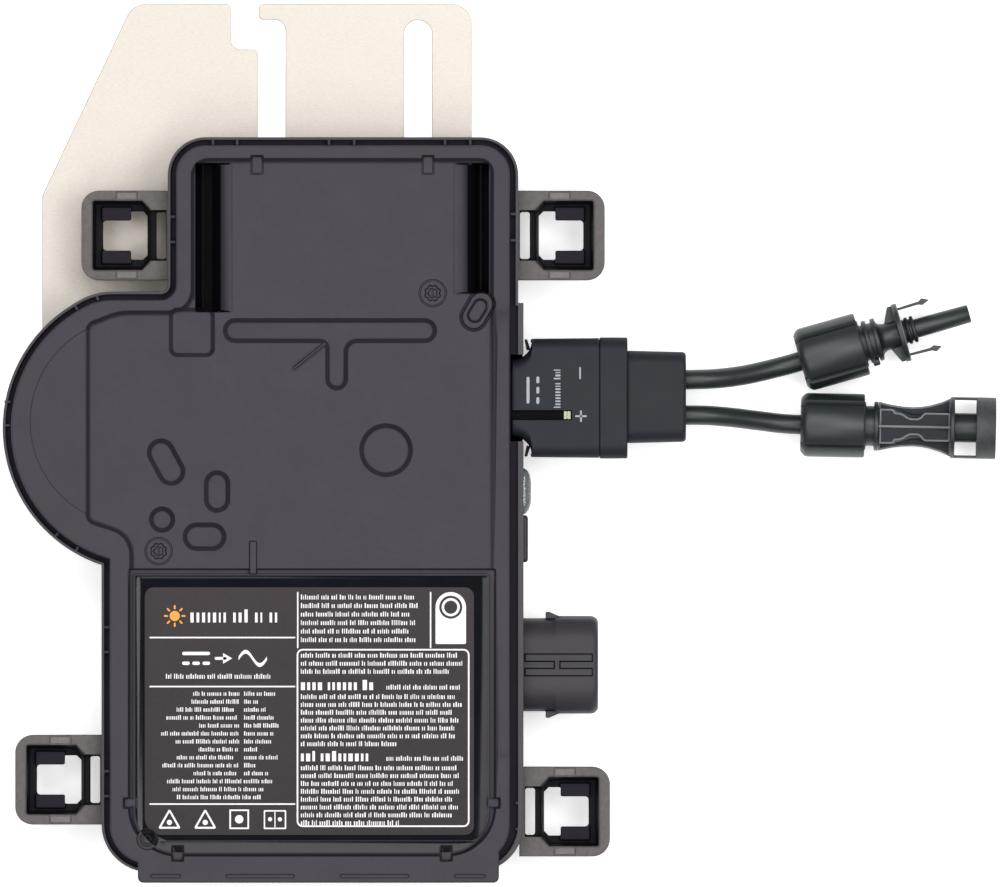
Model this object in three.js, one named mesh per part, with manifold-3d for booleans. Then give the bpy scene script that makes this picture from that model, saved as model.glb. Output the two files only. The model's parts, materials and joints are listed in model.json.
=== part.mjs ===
// Panel-level solar micro inverter on its steel mounting bracket, with the two-lead
// input plug fitted. Millimetres. The object lies on its bracket: +Z points out of the
// labelled cover, +Y towards the bracket's hooked edge, +X towards the connectors.
// The origin is the centre of the footprint (free leads left out), at the bracket's back.

import * as THREE from 'three';
import { mergeVertices } from 'three/addons/utils/BufferGeometryUtils.js';
import Module from 'manifold-3d';

const wasm = await Module();
wasm.setup();

// ---------------------------------------------------------------- driving dimensions

const GAP = 0.3;                 // between two pieces that touch or slide in reality
const ARC_ERROR = 0.14;          // largest distance from a true arc to its chords

const TOP = 125.5;               // bracket's hooked edge; the cover's lower edge is at -TOP
const HALF_WIDTH = 97.5;         // bulge on the left to the plug's boot on the right

const SHEET = 1.5;               // bracket thickness
const BACK = 3.5;                // rear housing's back face, held off the bracket
const FLOOR = 5.9;               // rear housing's inner floor
const SEAM = 27.0;               // top of the rear housing's wall
const LIP = 29.5;                // top of the thin lip around that wall
const RIM = 33.7;                // cover's raised rim
const PANEL = 31.2;              // cover's main face
const LABEL_BED = 30.2;          // bed that the label lies in
const UNDER = 28.2;              // cover's inner face
const COVER_FOOT = 26.9;         // bottom of the cover's skirt
const LOW_RIM = 31.6;            // rim where it dips beside the connectors

const WALL_TOP = 87.2;           // body outline
const WALL_BOTTOM = -122.5;
const WALL_LEFT_UPPER = -50.4;
const WALL_LEFT_LOWER = -69.3;
const WALL_RIGHT = 49.6;
const WALL_RIGHT_LOWER = 51.1;
const RIGHT_STEP = 39.9;         // height at which the right wall steps out
const BULGE = { x: -56.3, y: 4.2, r: 41.2 };
const SHOULDER = 43.15;          // flat above the bulge

const LIP_IN = 0.8;              // insets from the body outline
const WALL_IN = 2.0;
const WALL_IN_LOW = 3.4;
const COVER_IN = 2.4;
const SKIRT_IN = 4.2;

const CONNECTOR_Z = 16.5;        // height of both connectors' centre lines
const BOARD_Z = 10.0;            // circuit board's underside
const BOARD = 1.6;               // and its thickness
const PARTS_Z = BOARD_Z + BOARD + GAP;

const EAR = { length: 24.7, width: 25.6, low: 9.5, high: 22.5, ledge: 15.0 };
const EARS = [
  { side: -1, wall: WALL_LEFT_UPPER, y: 59.2 },
  { side: 1, wall: WALL_RIGHT, y: 59.2 },
  { side: -1, wall: WALL_LEFT_LOWER, y: -96.2 },
  { side: 1, wall: WALL_RIGHT_LOWER, y: -105.3 },
];

const SCREWS = [[-38, 62], [28, 62], [-66, 6], [24, 6]];
const FEET = [[-52, -104], [34, -104]];

const PLUG = { y: 12.8, front: 47.7, seam: 72.7, collar: 80.8, width: 34.2, height: 22 };
const BOOT = { end: HALF_WIDTH, width: 26.4, height: 18.4 };
const NOSE = { tip: 36.5, width: 18, height: 11.6 };
const LEAD = { r: 2.8, minusY: 18.0, plusY: 7.9, pinY: 5.0 };
const AC = { y: -63.4, z: 15.6, width: 26.8, height: 17.2, inner: 44.6, step: 60.4, end: 72.4 };
const LAMP = { y: -13.4, z: 17.5, length: 12.8, height: 6.4, reach: 53.3 };

const CONNECTOR = { r: 9.1, nut: 18.3, low: 9.5 };
const MINUS = { x: 130.2, y: 23.3, turn: 15.8 };
const PLUS = { x: 130.3, y: 5.2, turn: -1.1 };

// ---------------------------------------------------------------- materials

const finish = (color, roughness, metalness = 0) =>
  new THREE.MeshStandardMaterial({ color, roughness, metalness });

const MATERIAL = {
  steel: finish(0xd8cdc2, 0.42, 0.9),
  housing: finish(0x504e54, 0.62),
  cover: finish(0x535158, 0.58),
  ear: finish(0x5c5a5e, 0.6),
  plug: finish(0x3b3e46, 0.55),
  connector: finish(0x3b4244, 0.6),
  rubber: finish(0x1d1e20, 0.85),
  label: finish(0x2c2927, 0.35),
  lens: finish(0xd9dde0, 0.2),
  lamp: finish(0xe8e4d0, 0.3),
  insert: finish(0xc9d0a8, 0.5),
  board: finish(0x1f4d33, 0.5),
  ferrite: finish(0x2a2b2e, 0.7),
  copper: finish(0xb26a3c, 0.4, 0.8),
  brass: finish(0xc9a24e, 0.3, 1),
  screw: finish(0xb9bcc0, 0.3, 1),
  aluminium: finish(0xb4b8bd, 0.4, 1),
  can: finish(0x3a3f55, 0.4),
  film: finish(0x9b7a3a, 0.5),
  chip: finish(0x17181a, 0.5),
  relay: finish(0x2f5d8a, 0.45),
  fuse: finish(0xdedbd2, 0.3),
};

// ---------------------------------------------------------------- outlines

/** Points along an arc, angles in degrees, both ends included. */
function arc(x, y, r, from, to) {
  const step = THREE.MathUtils.radToDeg(2 * Math.acos(1 - ARC_ERROR / Math.max(r, 2 * ARC_ERROR)));
  const count = Math.max(2, Math.ceil(Math.abs(to - from) / Math.min(step, 36)));
  const points = [];
  for (let i = 0; i <= count; i += 1) {
    const a = THREE.MathUtils.degToRad(from + ((to - from) * i) / count);
    points.push([x + r * Math.cos(a), y + r * Math.sin(a)]);
  }
  return points;
}

/** Closed outline from corners [x, y, radius]; a corner without a radius stays sharp. */
function outline(corners) {
  const points = [];
  corners.forEach(([x, y, r = 0], i) => {
    const corner = new THREE.Vector2(x, y);
    if (r === 0) {
      points.push(corner);
      return;
    }
    const before = new THREE.Vector2(...corners.at(i - 1).slice(0, 2));
    const after = new THREE.Vector2(...corners[(i + 1) % corners.length].slice(0, 2));
    const back = before.sub(corner).normalize();
    const ahead = after.sub(corner).normalize();
    const half = Math.acos(THREE.MathUtils.clamp(back.dot(ahead), -1, 1)) / 2;
    const middle = back.clone().add(ahead).normalize().multiplyScalar(r / Math.sin(half)).add(corner);
    const reach = r / Math.tan(half);
    const start = corner.clone().addScaledVector(back, reach).sub(middle);
    const end = corner.clone().addScaledVector(ahead, reach).sub(middle);
    const from = THREE.MathUtils.radToDeg(start.angle());
    let sweep = THREE.MathUtils.radToDeg(end.angle()) - from;
    sweep -= 360 * Math.round(sweep / 360);
    arc(middle.x, middle.y, r, from, from + sweep).forEach((p) => points.push(new THREE.Vector2(...p)));
  });
  return points;
}

/** The same outline moved inwards by a distance. The outline runs anticlockwise. */
function inset(points, distance) {
  return points.map((point, i) => {
    const before = points.at(i - 1);
    const after = points[(i + 1) % points.length];
    const a = point.clone().sub(before).normalize();
    const b = after.clone().sub(point).normalize();
    const normal = new THREE.Vector2(-a.y - b.y, a.x + b.x).normalize();
    const along = Math.max(0.3, normal.dot(new THREE.Vector2(-a.y, a.x)));
    return point.clone().addScaledVector(normal, distance / along);
  });
}

/** Rectangle between two corners, with one radius for all four corners. */
const rectangle = (x0, y0, x1, y1, r = 0) =>
  outline([[x0, y0, r], [x1, y0, r], [x1, y1, r], [x0, y1, r]]);

/** Round-ended slot between two centres. */
function slot(x0, y0, x1, y1, r) {
  const heading = THREE.MathUtils.radToDeg(Math.atan2(y1 - y0, x1 - x0));
  const ends = [
    ...arc(x1, y1, r, heading - 90, heading + 90),
    ...arc(x0, y0, r, heading + 90, heading + 270),
  ];
  return ends.map((p) => new THREE.Vector2(...p));
}

const circle = (x, y, r) => arc(x, y, r, 0, 360).slice(1).map((p) => new THREE.Vector2(...p));

// ---------------------------------------------------------------- solids

/** Three.js geometry to a solid. */
function solid(geometry) {
  const bare = geometry.index ? geometry.clone() : geometry;
  bare.deleteAttribute('normal');
  bare.deleteAttribute('uv');
  const merged = mergeVertices(bare, 1e-4);
  return new wasm.Manifold(new wasm.Mesh({
    numProp: 3,
    vertProperties: new Float32Array(merged.attributes.position.array),
    triVerts: new Uint32Array(merged.index.array),
  }));
}

/** Solid back to three.js geometry. */
function geometry(body) {
  const mesh = body.getMesh();
  const result = new THREE.BufferGeometry();
  result.setAttribute('position', new THREE.BufferAttribute(new Float32Array(mesh.vertProperties), 3));
  result.setIndex(new THREE.BufferAttribute(new Uint32Array(mesh.triVerts), 1));
  result.computeVertexNormals();
  return result;
}

/** Outline raised from z0 to z1. */
function prismGeometry(points, z0, z1) {
  const shape = new THREE.Shape(points);
  return new THREE.ExtrudeGeometry(shape, { depth: z1 - z0, bevelEnabled: false }).translate(0, 0, z0);
}

const prism = (points, z0, z1) => solid(prismGeometry(points, z0, z1));

const block = (x0, y0, z0, x1, y1, z1) =>
  solid(new THREE.BoxGeometry(x1 - x0, y1 - y0, z1 - z0)
    .translate((x0 + x1) / 2, (y0 + y1) / 2, (z0 + z1) / 2));

/** Outline in the YZ plane, run along X from x0 to x1. */
const along = (points, x0, x1) => solid(alongGeometry(points, x0, x1));

function alongGeometry(points, x0, x1) {
  const turned = prismGeometry(points, x0, x1);
  turned.applyMatrix4(new THREE.Matrix4().makeBasis(
    new THREE.Vector3(0, 1, 0),
    new THREE.Vector3(0, 0, 1),
    new THREE.Vector3(1, 0, 0),
  ));
  return turned;
}

/** Outline in the XZ plane, run along Y from y0 to y1. */
function across(points, y0, y1) {
  const turned = prismGeometry(points, -y1, -y0);
  return solid(turned.rotateX(Math.PI / 2));
}

/** Closed profile of [radius, height] turned about +Z. */
function turnedGeometry(profile, segments) {
  const points = [...profile, profile[0]].map(([r, z]) => new THREE.Vector2(r, z));
  return new THREE.LatheGeometry(points, segments).rotateX(Math.PI / 2);
}

const turned = (profile, segments = 24) => solid(turnedGeometry(profile, segments));

/** The same profile turned about +X, its heights running along +X. */
const turnedAlongX = (profile, segments = 24) =>
  solid(turnedGeometry(profile, segments).rotateY(Math.PI / 2));

const cylinder = (x, y, r, z0, z1) => prism(circle(x, y, r), z0, z1);

const union = (parts) => parts.reduce((sum, part) => sum.add(part));
const without = (body, cuts) => cuts.reduce((left, cut) => left.subtract(cut), body);

const assembly = new THREE.Group();

/** Adds a finished body to a group as a named mesh. */
function place(name, body, material, group = assembly) {
  const shape = body instanceof THREE.BufferGeometry ? body : geometry(body);
  const mesh = new THREE.Mesh(shape, material);
  mesh.name = name;
  group.add(mesh);
  return mesh;
}

// ---------------------------------------------------------------- body outline

function bodyOutline(stepped) {
  const right = stepped ? WALL_RIGHT_LOWER : WALL_RIGHT;
  const step = stepped ? [[WALL_RIGHT_LOWER, RIGHT_STEP], [WALL_RIGHT, RIGHT_STEP]] : [];
  return outline([
    [WALL_LEFT_LOWER, WALL_BOTTOM, 13.7],
    [right, WALL_BOTTOM, 13.7],
    ...step,
    [WALL_RIGHT, WALL_TOP, 10.8],
    [WALL_LEFT_UPPER, WALL_TOP, 10.8],
    [WALL_LEFT_UPPER, SHOULDER, 2],
    [-71.3, SHOULDER, 19],
    ...arc(BULGE.x, BULGE.y, BULGE.r, 120, 180).slice(0, -1),
    ...arc(BULGE.x, BULGE.y, BULGE.r, 180, 251.6),
  ]);
}

const wallOutline = bodyOutline(true);
const coverOutline = bodyOutline(false);

// ---------------------------------------------------------------- mounting bracket

function bracket() {
  const plate = prism(outline([
    [-60.6, TOP, 5.7],
    [-86.5, 70.7, 2],
    [-86.5, -12, 8],
    [36.3, -12, 6],
    [36.3, TOP, 5.7],
    [-24.6, TOP, 1.5],
    [-24.6, TOP - 4.6, 1.5],
    [-16.9, TOP - 4.6, 2.9],
    [-16.9, 74, 3.5],
    [-24.9, 74, 3.5],
    [-24.9, 112.5, 1],
    [-32.6, 112.5, 3.1],
    [-32.6, TOP, 1.2],
  ]), 0, SHEET);
  const rail = prism(slot(21, TOP - 8.6, 21, 74, 4), -1, SHEET + 1);
  const screwHoles = SCREWS.map(([x, y]) => turned([
    [0, -0.5], [4.3, -0.5], [4.3, 0.2], [2.4, 1.35], [2.4, 2], [0, 2],
  ], 20).translate([x, y, 0]));
  return without(plate, [rail, ...screwHoles]);
}

function screw() {
  return turned([
    [0, 0.9], [1.6, 0.9], [1.6, 0.1], [3.9, 0.1], [3.9, 0.3],
    [1.75, 1.7], [1.75, 7.6], [1.1, 8.6], [0, 8.6],
  ], 16);
}

place('mounting_bracket', bracket(), MATERIAL.steel);
SCREWS.forEach(([x, y], i) => {
  place(`bracket_screw_${i + 1}`, screw(), MATERIAL.screw).position.set(x, y, 0);
});

// ---------------------------------------------------------------- rear housing

/** Ear that a cable clip snaps into, drawn for the right side with its root at x = 0. */
function ear() {
  const half = EAR.width / 2;
  const slab = prism(rectangle(-4, -half, EAR.length, half, 3.8), EAR.low, EAR.high);
  const cuts = [
    prism(rectangle(0.6, -6.7, 3.4, 6.7, 0.8), EAR.low - 1, EAR.high + 1),
    prism(rectangle(5.9, -6.7, 10.7, 6.7, 1.2), EAR.low - 1, EAR.high + 1),
    prism(rectangle(7, -4.3, 18.6, 4.3, 1), EAR.low - 1, EAR.high + 1),
    prism(rectangle(5.9, -9.7, 21.3, 9.7, 1.6), EAR.ledge, EAR.high + 1),
  ];
  return without(slab, cuts);
}

// the cavity is narrower below, so that its wall is thick where the board stands
const cavityLow = prism(inset(coverOutline, WALL_IN_LOW), FLOOR, SEAM + 5);
const cavityHigh = prism(inset(coverOutline, WALL_IN), 25.3, SEAM + 5);
const lipChannel = prism(inset(coverOutline, LIP_IN), SEAM, SEAM + 5);

const stadium = (y, z, width, height, r) =>
  outline([
    [y - width / 2, z - height / 2, r],
    [y + width / 2, z - height / 2, r],
    [y + width / 2, z + height / 2, r],
    [y - width / 2, z + height / 2, r],
  ]);

function rearHousing() {
  const shell = prism(wallOutline, BACK, LIP);
  const ears = EARS.map(({ side, wall, y }) => {
    const one = side > 0 ? ear() : ear().mirror([1, 0, 0]);
    return one.translate([wall, y, 0]);
  });
  const solidBody = union([shell, ...ears, block(50, -34.9, 8, 52.4, -21.4, 25.5)]);
  const hollowed = without(solidBody, [cavityLow, cavityHigh, lipChannel]);
  const bosses = [
    ...SCREWS.map(([x, y]) => cylinder(x, y, 4.6, SHEET + GAP, BOARD_Z - GAP)),
    ...FEET.map(([x, y]) => cylinder(x, y, 6, 0, BACK + 1)),
  ];
  const cuts = [
    ...SCREWS.map(([x, y]) => cylinder(x, y, 2.1, 0, 9)),
    // recess for the plug, open at the top, and the window for its nose
    block(47.4, PLUG.y - 12.9, 4.9, 60, PLUG.y + 12.9, LIP + 1),
    along(stadium(PLUG.y, CONNECTOR_Z, NOSE.width + 3.6, NOSE.height + 3.6, 3.4), 44, 60),
    // outlet connector and status lamp pass through the wall
    along(stadium(AC.y, AC.z, AC.width + 2 * GAP, AC.height + 2 * GAP, 8.2), 44, 60),
    along(stadium(LAMP.y, LAMP.z, LAMP.length, LAMP.height, 3.1), 44, 60),
  ];
  return without(union([hollowed, ...bosses]), cuts);
}

place('rear_housing', rearHousing(), MATERIAL.housing);

// ---------------------------------------------------------------- front cover

const TRENCH_FLOOR = 22.6;
const TRENCHES = [
  { x0: -42.4, x1: -32.0, y0: 37.2, y1: 79.8, steep: -1 },
  { x0: 31.9, x1: 40.8, y0: 42.4, y1: 79.8, steep: 1 },
];

/** Deep pocket beside the rim: upright on the outer side, sloping on the inner side. */
function trench({ x0, x1, y0, y1, steep }, grow, z0, z1) {
  const slope = 3.4;
  const left = steep > 0 ? slope : 0;
  const right = steep > 0 ? 0 : slope;
  const section = outline([
    [x0 + left - grow, z0, 0.8],
    [x1 - right + grow, z0, 0.8],
    [x1 + grow, z1],
    [x0 - grow, z1],
  ]);
  return across(section, y0 - grow, y1 + grow);
}

/** Main face of the cover, inside the rim. */
const panelOutline = outline([
  [-60.3, -40, 0],
  [41.6, -40, 0],
  [41.6, 80.2, 3],
  [-42.8, 80.2, 4],
  [-42.8, 36.7, 7],
  [-64, 36.7, 14],
  [-72.8, 33.4, 2.2],
  [-72.8, -22, 2.2],
  [-60.3, -26, 8],
]);

const labelBed = rectangle(-59.7, -115.8, 41.0, -37.5, 8);

/** Shallow shapes sunk into the main face, each with its depth. */
const reliefs = [
  { points: slot(-31.1, 32.0, 22.9, 32.0, 3.5), depth: 1.1 },
  { points: slot(-2.2, 31.5, -2.2, 18.2, 3.2), depth: 1.1 },
  { points: slot(-14.3, 21.3, -5.4, 28.4, 0.8), depth: 0.9 },
  { points: rectangle(-50, 24.5, -37, 38.5, 2), depth: 0.7 },
  { points: circle(11.9, -2.1, 7.4), depth: 0.9 },
  { points: slot(-52.3, -2.8, -49.4, -8.2, 4), depth: 0.9 },
  { points: slot(-36.3, -11.6, -36.3, -16.2, 3.7), depth: 0.9 },
  { points: circle(-52, -21.9, 3.7), depth: 0.9 },
  { points: slot(-42.1, -26.8, -37.7, -26.8, 4), depth: 0.9 },
];

/** Rim slots near the lower edge: centre and length. */
const EDGE_SLOTS = [[-51, 8.8], [-24, 19.7], [8.6, 19.7], [35.8, 9.1]];

/** Small square pads that bridge rim and panel: centre. */
const BRIDGES = [
  [-24.9, 79.4], [23.9, 79.4], [-47.6, -117.2], [29, -117.2], [-61, -102.7], [42.4, -102.7],
];

function frontCover() {
  const slab = prism(inset(coverOutline, COVER_IN), COVER_FOOT, RIM);
  const flange = prism(rectangle(-58.9, -TOP, 44.1, -115, 1.6), LIP + 0.4, RIM);
  const hollow = prism(inset(coverOutline, SKIRT_IN), COVER_FOOT - 1, UNDER);
  const faces = [prism(panelOutline, PANEL, RIM + 1), prism(labelBed, LABEL_BED, RIM + 1)];
  const dip = along(outline([
    [39.4, RIM + 1], [39.4, RIM], [35, 32.3], [28, LOW_RIM], [-77.7, LOW_RIM], [-87.4, 32.3],
    [-91.1, RIM],
    [-91.1, RIM + 1],
  ]), 41.2, 60);
  const shell = without(union([slab, flange]), [hollow, ...faces, dip]);
  const pads = BRIDGES.map(([x, y]) =>
    block(x - 1.3, y - 1.3, PANEL - 1.6, x + 1.3, y + 1.3, RIM - 0.8));
  const additions = [
    ...TRENCHES.map((one) => trench(one, 1.6, TRENCH_FLOOR - 1.6, PANEL - 0.4)),
    ...pads,
    prism(slot(36.9, 35.8, 39.1, 39.6, 3.6), PANEL - 1, PANEL + 0.9),
    cylinder(-56.4, -113.5, 2.5, LABEL_BED - 1, PANEL + 0.4),
    block(-27.2, -36.9, PANEL - 1, -24.9, -28, PANEL + 0.7),
    cylinder(-53, -30.9, 4, PANEL - 1, PANEL + 0.25),
    cylinder(25.2, 42.7, 4, PANEL - 1, PANEL + 0.25),
  ];
  const cuts = [
    ...TRENCHES.map((one) => trench(one, 0, TRENCH_FLOOR, RIM + 1)),
    ...reliefs.map(({ points, depth }) => prism(points, PANEL - depth, PANEL + 0.5)),
    prism(slot(37.2, 36.4, 38.8, 39, 2.3), PANEL, PANEL + 2),
    ...EDGE_SLOTS.map(([x, length]) =>
      block(x - length / 2, -124.2, RIM - 0.8, x + length / 2, -123, RIM + 1)),
  ];
  return without(union([shell, ...additions]), cuts);
}

place('front_cover', frontCover(), MATERIAL.cover);

const gasket = without(
  prism(inset(coverOutline, WALL_IN + GAP), 25.3 + GAP, COVER_FOOT - GAP),
  [prism(inset(coverOutline, WALL_IN_LOW), 24, 28)],
);
place('cover_gasket', gasket, MATERIAL.rubber);

const label = outline([[-57, -111.9, 5], [37, -111.9, 2.6], [37, -41.2, 2.6], [-57, -41.2, 2.6]]);
place('rating_label', prismGeometry(label, LABEL_BED + GAP, LABEL_BED + 0.7), MATERIAL.label);

// ---------------------------------------------------------------- electronics

function circuitBoard() {
  const plate = prism(inset(coverOutline, WALL_IN_LOW + 1.2), BOARD_Z, BOARD_Z + BOARD);
  return without(plate, [
    block(27.6, PLUG.y - 14, BOARD_Z - 1, 60, PLUG.y + 14, BOARD_Z + 3),
    block(42.8, AC.y - 15.5, BOARD_Z - 1, 60, AC.y + 15.5, BOARD_Z + 3),
    block(42.8, LAMP.y - 9, BOARD_Z - 1, 60, LAMP.y + 9, BOARD_Z + 3),
  ]);
}

place('circuit_board', circuitBoard(), MATERIAL.board);

/** Half of a pot core, its open side up. */
const CORE = { outer: 26, wall: 23.4, post: 9.6, half: 7, base: 3.4 };

const halfCore = () => turnedGeometry([
  [0, 0], [CORE.outer, 0], [CORE.outer, CORE.half], [CORE.wall, CORE.half], [CORE.wall, CORE.base],
  [CORE.post, CORE.base], [CORE.post, CORE.half], [0, CORE.half],
], 28);

const ring = (inner, outer, height, segments = 24) =>
  turnedGeometry([[inner, 0], [outer, 0], [outer, height], [inner, height]], segments);

const coreX = BULGE.x - 1;
const lowerCore = place('transformer_core_lower', solid(halfCore()), MATERIAL.ferrite);
lowerCore.position.set(coreX, BULGE.y, PARTS_Z);
const upperCore = place('transformer_core_upper', solid(halfCore()), MATERIAL.ferrite);
upperCore.rotation.x = Math.PI;
upperCore.position.set(coreX, BULGE.y, PARTS_Z + 2 * CORE.half + GAP);
place('transformer_winding', ring(CORE.post + GAP, CORE.wall - GAP, 6.9), MATERIAL.copper)
  .position.set(coreX, BULGE.y, PARTS_Z + CORE.base + GAP);

place('filter_choke', ring(5.5, 12.5, 11), MATERIAL.copper).position.set(-12, -16, PARTS_Z);
place('output_choke', ring(5, 11, 10), MATERIAL.copper).position.set(24, -38, PARTS_Z);

const CAPACITORS = [[-46, -58], [-24, -58], [-46, -80], [-24, -80]];
CAPACITORS.forEach(([x, y], i) => {
  const can = prismGeometry(circle(0, 0, 9), 0, 15);
  place(`input_capacitor_${i + 1}`, can, MATERIAL.can).position.set(x, y, PARTS_Z);
});

/** Rectangular component, by centre and size. */
function component(name, x, y, width, depth, height, material, lift = 0) {
  const box = new THREE.BoxGeometry(width, depth, height).translate(0, 0, height / 2);
  place(name, box, material).position.set(x, y, PARTS_Z + lift);
}

component('film_capacitor', 2, -72, 14, 26, 14, MATERIAL.film);
component('grid_relay', 24, -72, 16, 20, 13, MATERIAL.relay);
component('control_chip', -5, 62, 18, 18, 1.8, MATERIAL.chip);
component('heat_spreader', -10, -108, 84, 3, 13, MATERIAL.aluminium);
[-42, -20, 2, 24].forEach((x, i) => {
  component(`power_switch_${i + 1}`, x, -102.6, 10, 4.6, 12, MATERIAL.chip);
});
const fuse = place('line_fuse', alongGeometry(circle(0, 0, 2.6), -9, 9), MATERIAL.fuse);
fuse.position.set(22, -93, PARTS_Z + 3);

// ---------------------------------------------------------------- outlet connector

const AC_CAVITY = { width: 21, height: 11.8, floor: 58.5 };

const AC_PINS = [-6.4, 0, 6.4].map((offset) => AC.y + offset);

function acShell() {
  const body = along(stadium(AC.y, AC.z, AC.width, AC.height, 8), AC.inner, AC.step);
  const collar = along(stadium(AC.y, AC.z, AC.width + 1.3, AC.height + 1.3, 8.6), AC.step - 1, AC.end);
  const top = AC.z + AC.height / 2;
  const ribs = [-60.9, -66].map((y) => block(52.5, y - 1, top - 2, 70.6, y + 1, top + 1.3));
  const ramp = [[56.6, 0], [61.6, 0], [61.6, 0.4], [57.4, 2.6], [56.6, 2.6]];
  const latches = [1, -1].map((side) => {
    const start = AC.y + side * (AC.width / 2 - 0.8);
    const points = outline(ramp.map(([x, out]) => [x, start + side * out * 1.3]));
    return prism(points, AC.z - 3, AC.z + 3);
  });
  const opening = stadium(AC.y, AC.z, AC_CAVITY.width, AC_CAVITY.height, 5.6);
  const inside = along(opening, AC_CAVITY.floor, 80);
  const back = along(opening, 40, AC_CAVITY.floor - 3);
  const bores = AC_PINS.map((y) => along(circle(y, AC.z, 1.6 + GAP), 40, 80));
  return without(union([body, collar, ...ribs, ...latches]), [inside, back, ...bores]);
}


place('ac_connector_shell', acShell(), MATERIAL.housing);
AC_PINS.forEach((y, i) => {
  place(`ac_pin_${i + 1}`, alongGeometry(circle(y, AC.z, 1.6), 52, 67), MATERIAL.brass);
});
const acSeal = without(
  along(
    stadium(AC.y, AC.z, AC_CAVITY.width - 0.6, AC_CAVITY.height - 0.6, 5.3),
    AC_CAVITY.floor + GAP,
    60.8,
  ),
  AC_PINS.map((y) => along(circle(y, AC.z, 1.6 + GAP), 50, 70)),
);
place('ac_connector_seal', acSeal, MATERIAL.rubber);

// ---------------------------------------------------------------- input socket and lamp

const PINS = [PLUG.y + LEAD.pinY, PLUG.y - LEAD.pinY];

function dcSocket() {
  const shroud = along(stadium(PLUG.y, CONNECTOR_Z, NOSE.width + 5, NOSE.height + 5, 3.2), 30.5, 45.8);
  const mouth = along(stadium(PLUG.y, CONNECTOR_Z, NOSE.width + 0.8, NOSE.height + 0.8, 2.4), 33.5, 50);
  const bores = PINS.map((y) => along(circle(y, CONNECTOR_Z, 1.5 + GAP), 28, 40));
  return without(shroud, [mouth, ...bores]);
}

place('dc_socket', dcSocket(), MATERIAL.housing);
['minus', 'plus'].forEach((sign, i) => {
  place(`dc_pin_${sign}`, alongGeometry(circle(PINS[i], CONNECTOR_Z, 1.5), 28.5, 45), MATERIAL.brass);
});

const lensOutline = stadium(LAMP.y, LAMP.z, LAMP.length - 0.7, LAMP.height - 0.7, 2.75);
const lensPlate = along(lensOutline, 48.6, 51.3);
const dome = solid(new THREE.SphereGeometry(1, 16, 10)
  .scale(LAMP.reach - 50.6, LAMP.length / 2 - 0.4, LAMP.height / 2 - 0.4)
  .translate(50.6, LAMP.y, LAMP.z));
place('status_lens', union([lensPlate, dome]), MATERIAL.lens);
place('status_led', new THREE.BoxGeometry(3, 5, 4).translate(46, LAMP.y, LAMP.z), MATERIAL.lamp);

// ---------------------------------------------------------------- input plug

/** Plan of the plug's front half: straight sides with a scooped corner for each latch. */
function plugPlan() {
  const scoop = { r: 6, x: PLUG.front, y: PLUG.width / 2 };
  const scoopArc = (side) => arc(scoop.x, scoop.y, scoop.r, 0, -90)
    .map(([x, y]) => [x, PLUG.y + side * y]);
  return outline([
    ...scoopArc(-1).reverse(),
    [PLUG.seam, PLUG.y - PLUG.width / 2],
    [PLUG.seam, PLUG.y + PLUG.width / 2],
    ...scoopArc(1),
  ]);
}

const CHANNEL = { y: 7.9, width: 2.9, from: 47, to: 64.9, depth: 1.6 };
const plugTop = CONNECTOR_Z + PLUG.height / 2;

function plugBody() {
  const low = CONNECTOR_Z - PLUG.height / 2;
  const plan = prism(plugPlan(), low, plugTop);
  const outside = stadium(PLUG.y, CONNECTOR_Z, PLUG.width, PLUG.height, 4.2);
  const section = along(outside, PLUG.front, PLUG.seam);
  const noseOutline = stadium(PLUG.y, CONNECTOR_Z, NOSE.width, NOSE.height, 2);
  const nose = along(noseOutline, NOSE.tip, PLUG.front + 1);
  const cuts = [
    block(CHANNEL.from, CHANNEL.y - CHANNEL.width / 2, plugTop - CHANNEL.depth,
      CHANNEL.to, CHANNEL.y + CHANNEL.width / 2, plugTop + 1),
    ...PINS.map((y) => along(circle(y, CONNECTOR_Z, 3.2), NOSE.tip - 1, 58)),
  ];
  return without(union([plan.intersect(section), nose]), cuts);
}

const plug = new THREE.Group();
assembly.add(plug);
place('dc_plug_body', plugBody(), MATERIAL.plug, plug);
['minus', 'plus'].forEach((sign, i) => {
  const sleeve = without(
    along(circle(PINS[i], CONNECTOR_Z, 2.9), NOSE.tip + 0.6, 57.6),
    [along(circle(PINS[i], CONNECTOR_Z, 1.9), NOSE.tip - 1, 48)],
  );
  place(`dc_plug_contact_${sign}`, sleeve, MATERIAL.brass, plug);
});

const faceSeal = without(
  along(
    stadium(PLUG.y, CONNECTOR_Z, NOSE.width + 3, NOSE.height + 3, 3.1),
    PLUG.front - 1.6,
    PLUG.front - GAP,
  ),
  [along(stadium(PLUG.y, CONNECTOR_Z, NOSE.width + 0.7, NOSE.height + 0.7, 2.3), 40, 60)],
);
place('dc_plug_face_seal', faceSeal, MATERIAL.rubber, plug);

place('dc_plug_lock_insert', new THREE.BoxGeometry(1.9, CHANNEL.width - 0.6, 1)
  .translate(63.6, CHANNEL.y, plugTop - 0.75), MATERIAL.insert, plug);

const collar = along(stadium(PLUG.y, CONNECTOR_Z, PLUG.width + 0.4, PLUG.height + 0.4, 4.4),
  PLUG.seam + GAP, PLUG.collar);
place('dc_plug_collar', collar, MATERIAL.plug, plug);

function boot() {
  const outside = stadium(PLUG.y + 0.3, CONNECTOR_Z, BOOT.width, BOOT.height, 4);
  const body = along(outside, PLUG.collar + GAP, BOOT.end);
  const bores = [LEAD.minusY, LEAD.plusY].map((y) =>
    along(circle(y, CONNECTOR_Z, LEAD.r + 0.4), BOOT.end - 4, BOOT.end + 1));
  return without(body, bores);
}
place('dc_plug_boot', boot(), MATERIAL.plug, plug);

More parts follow.
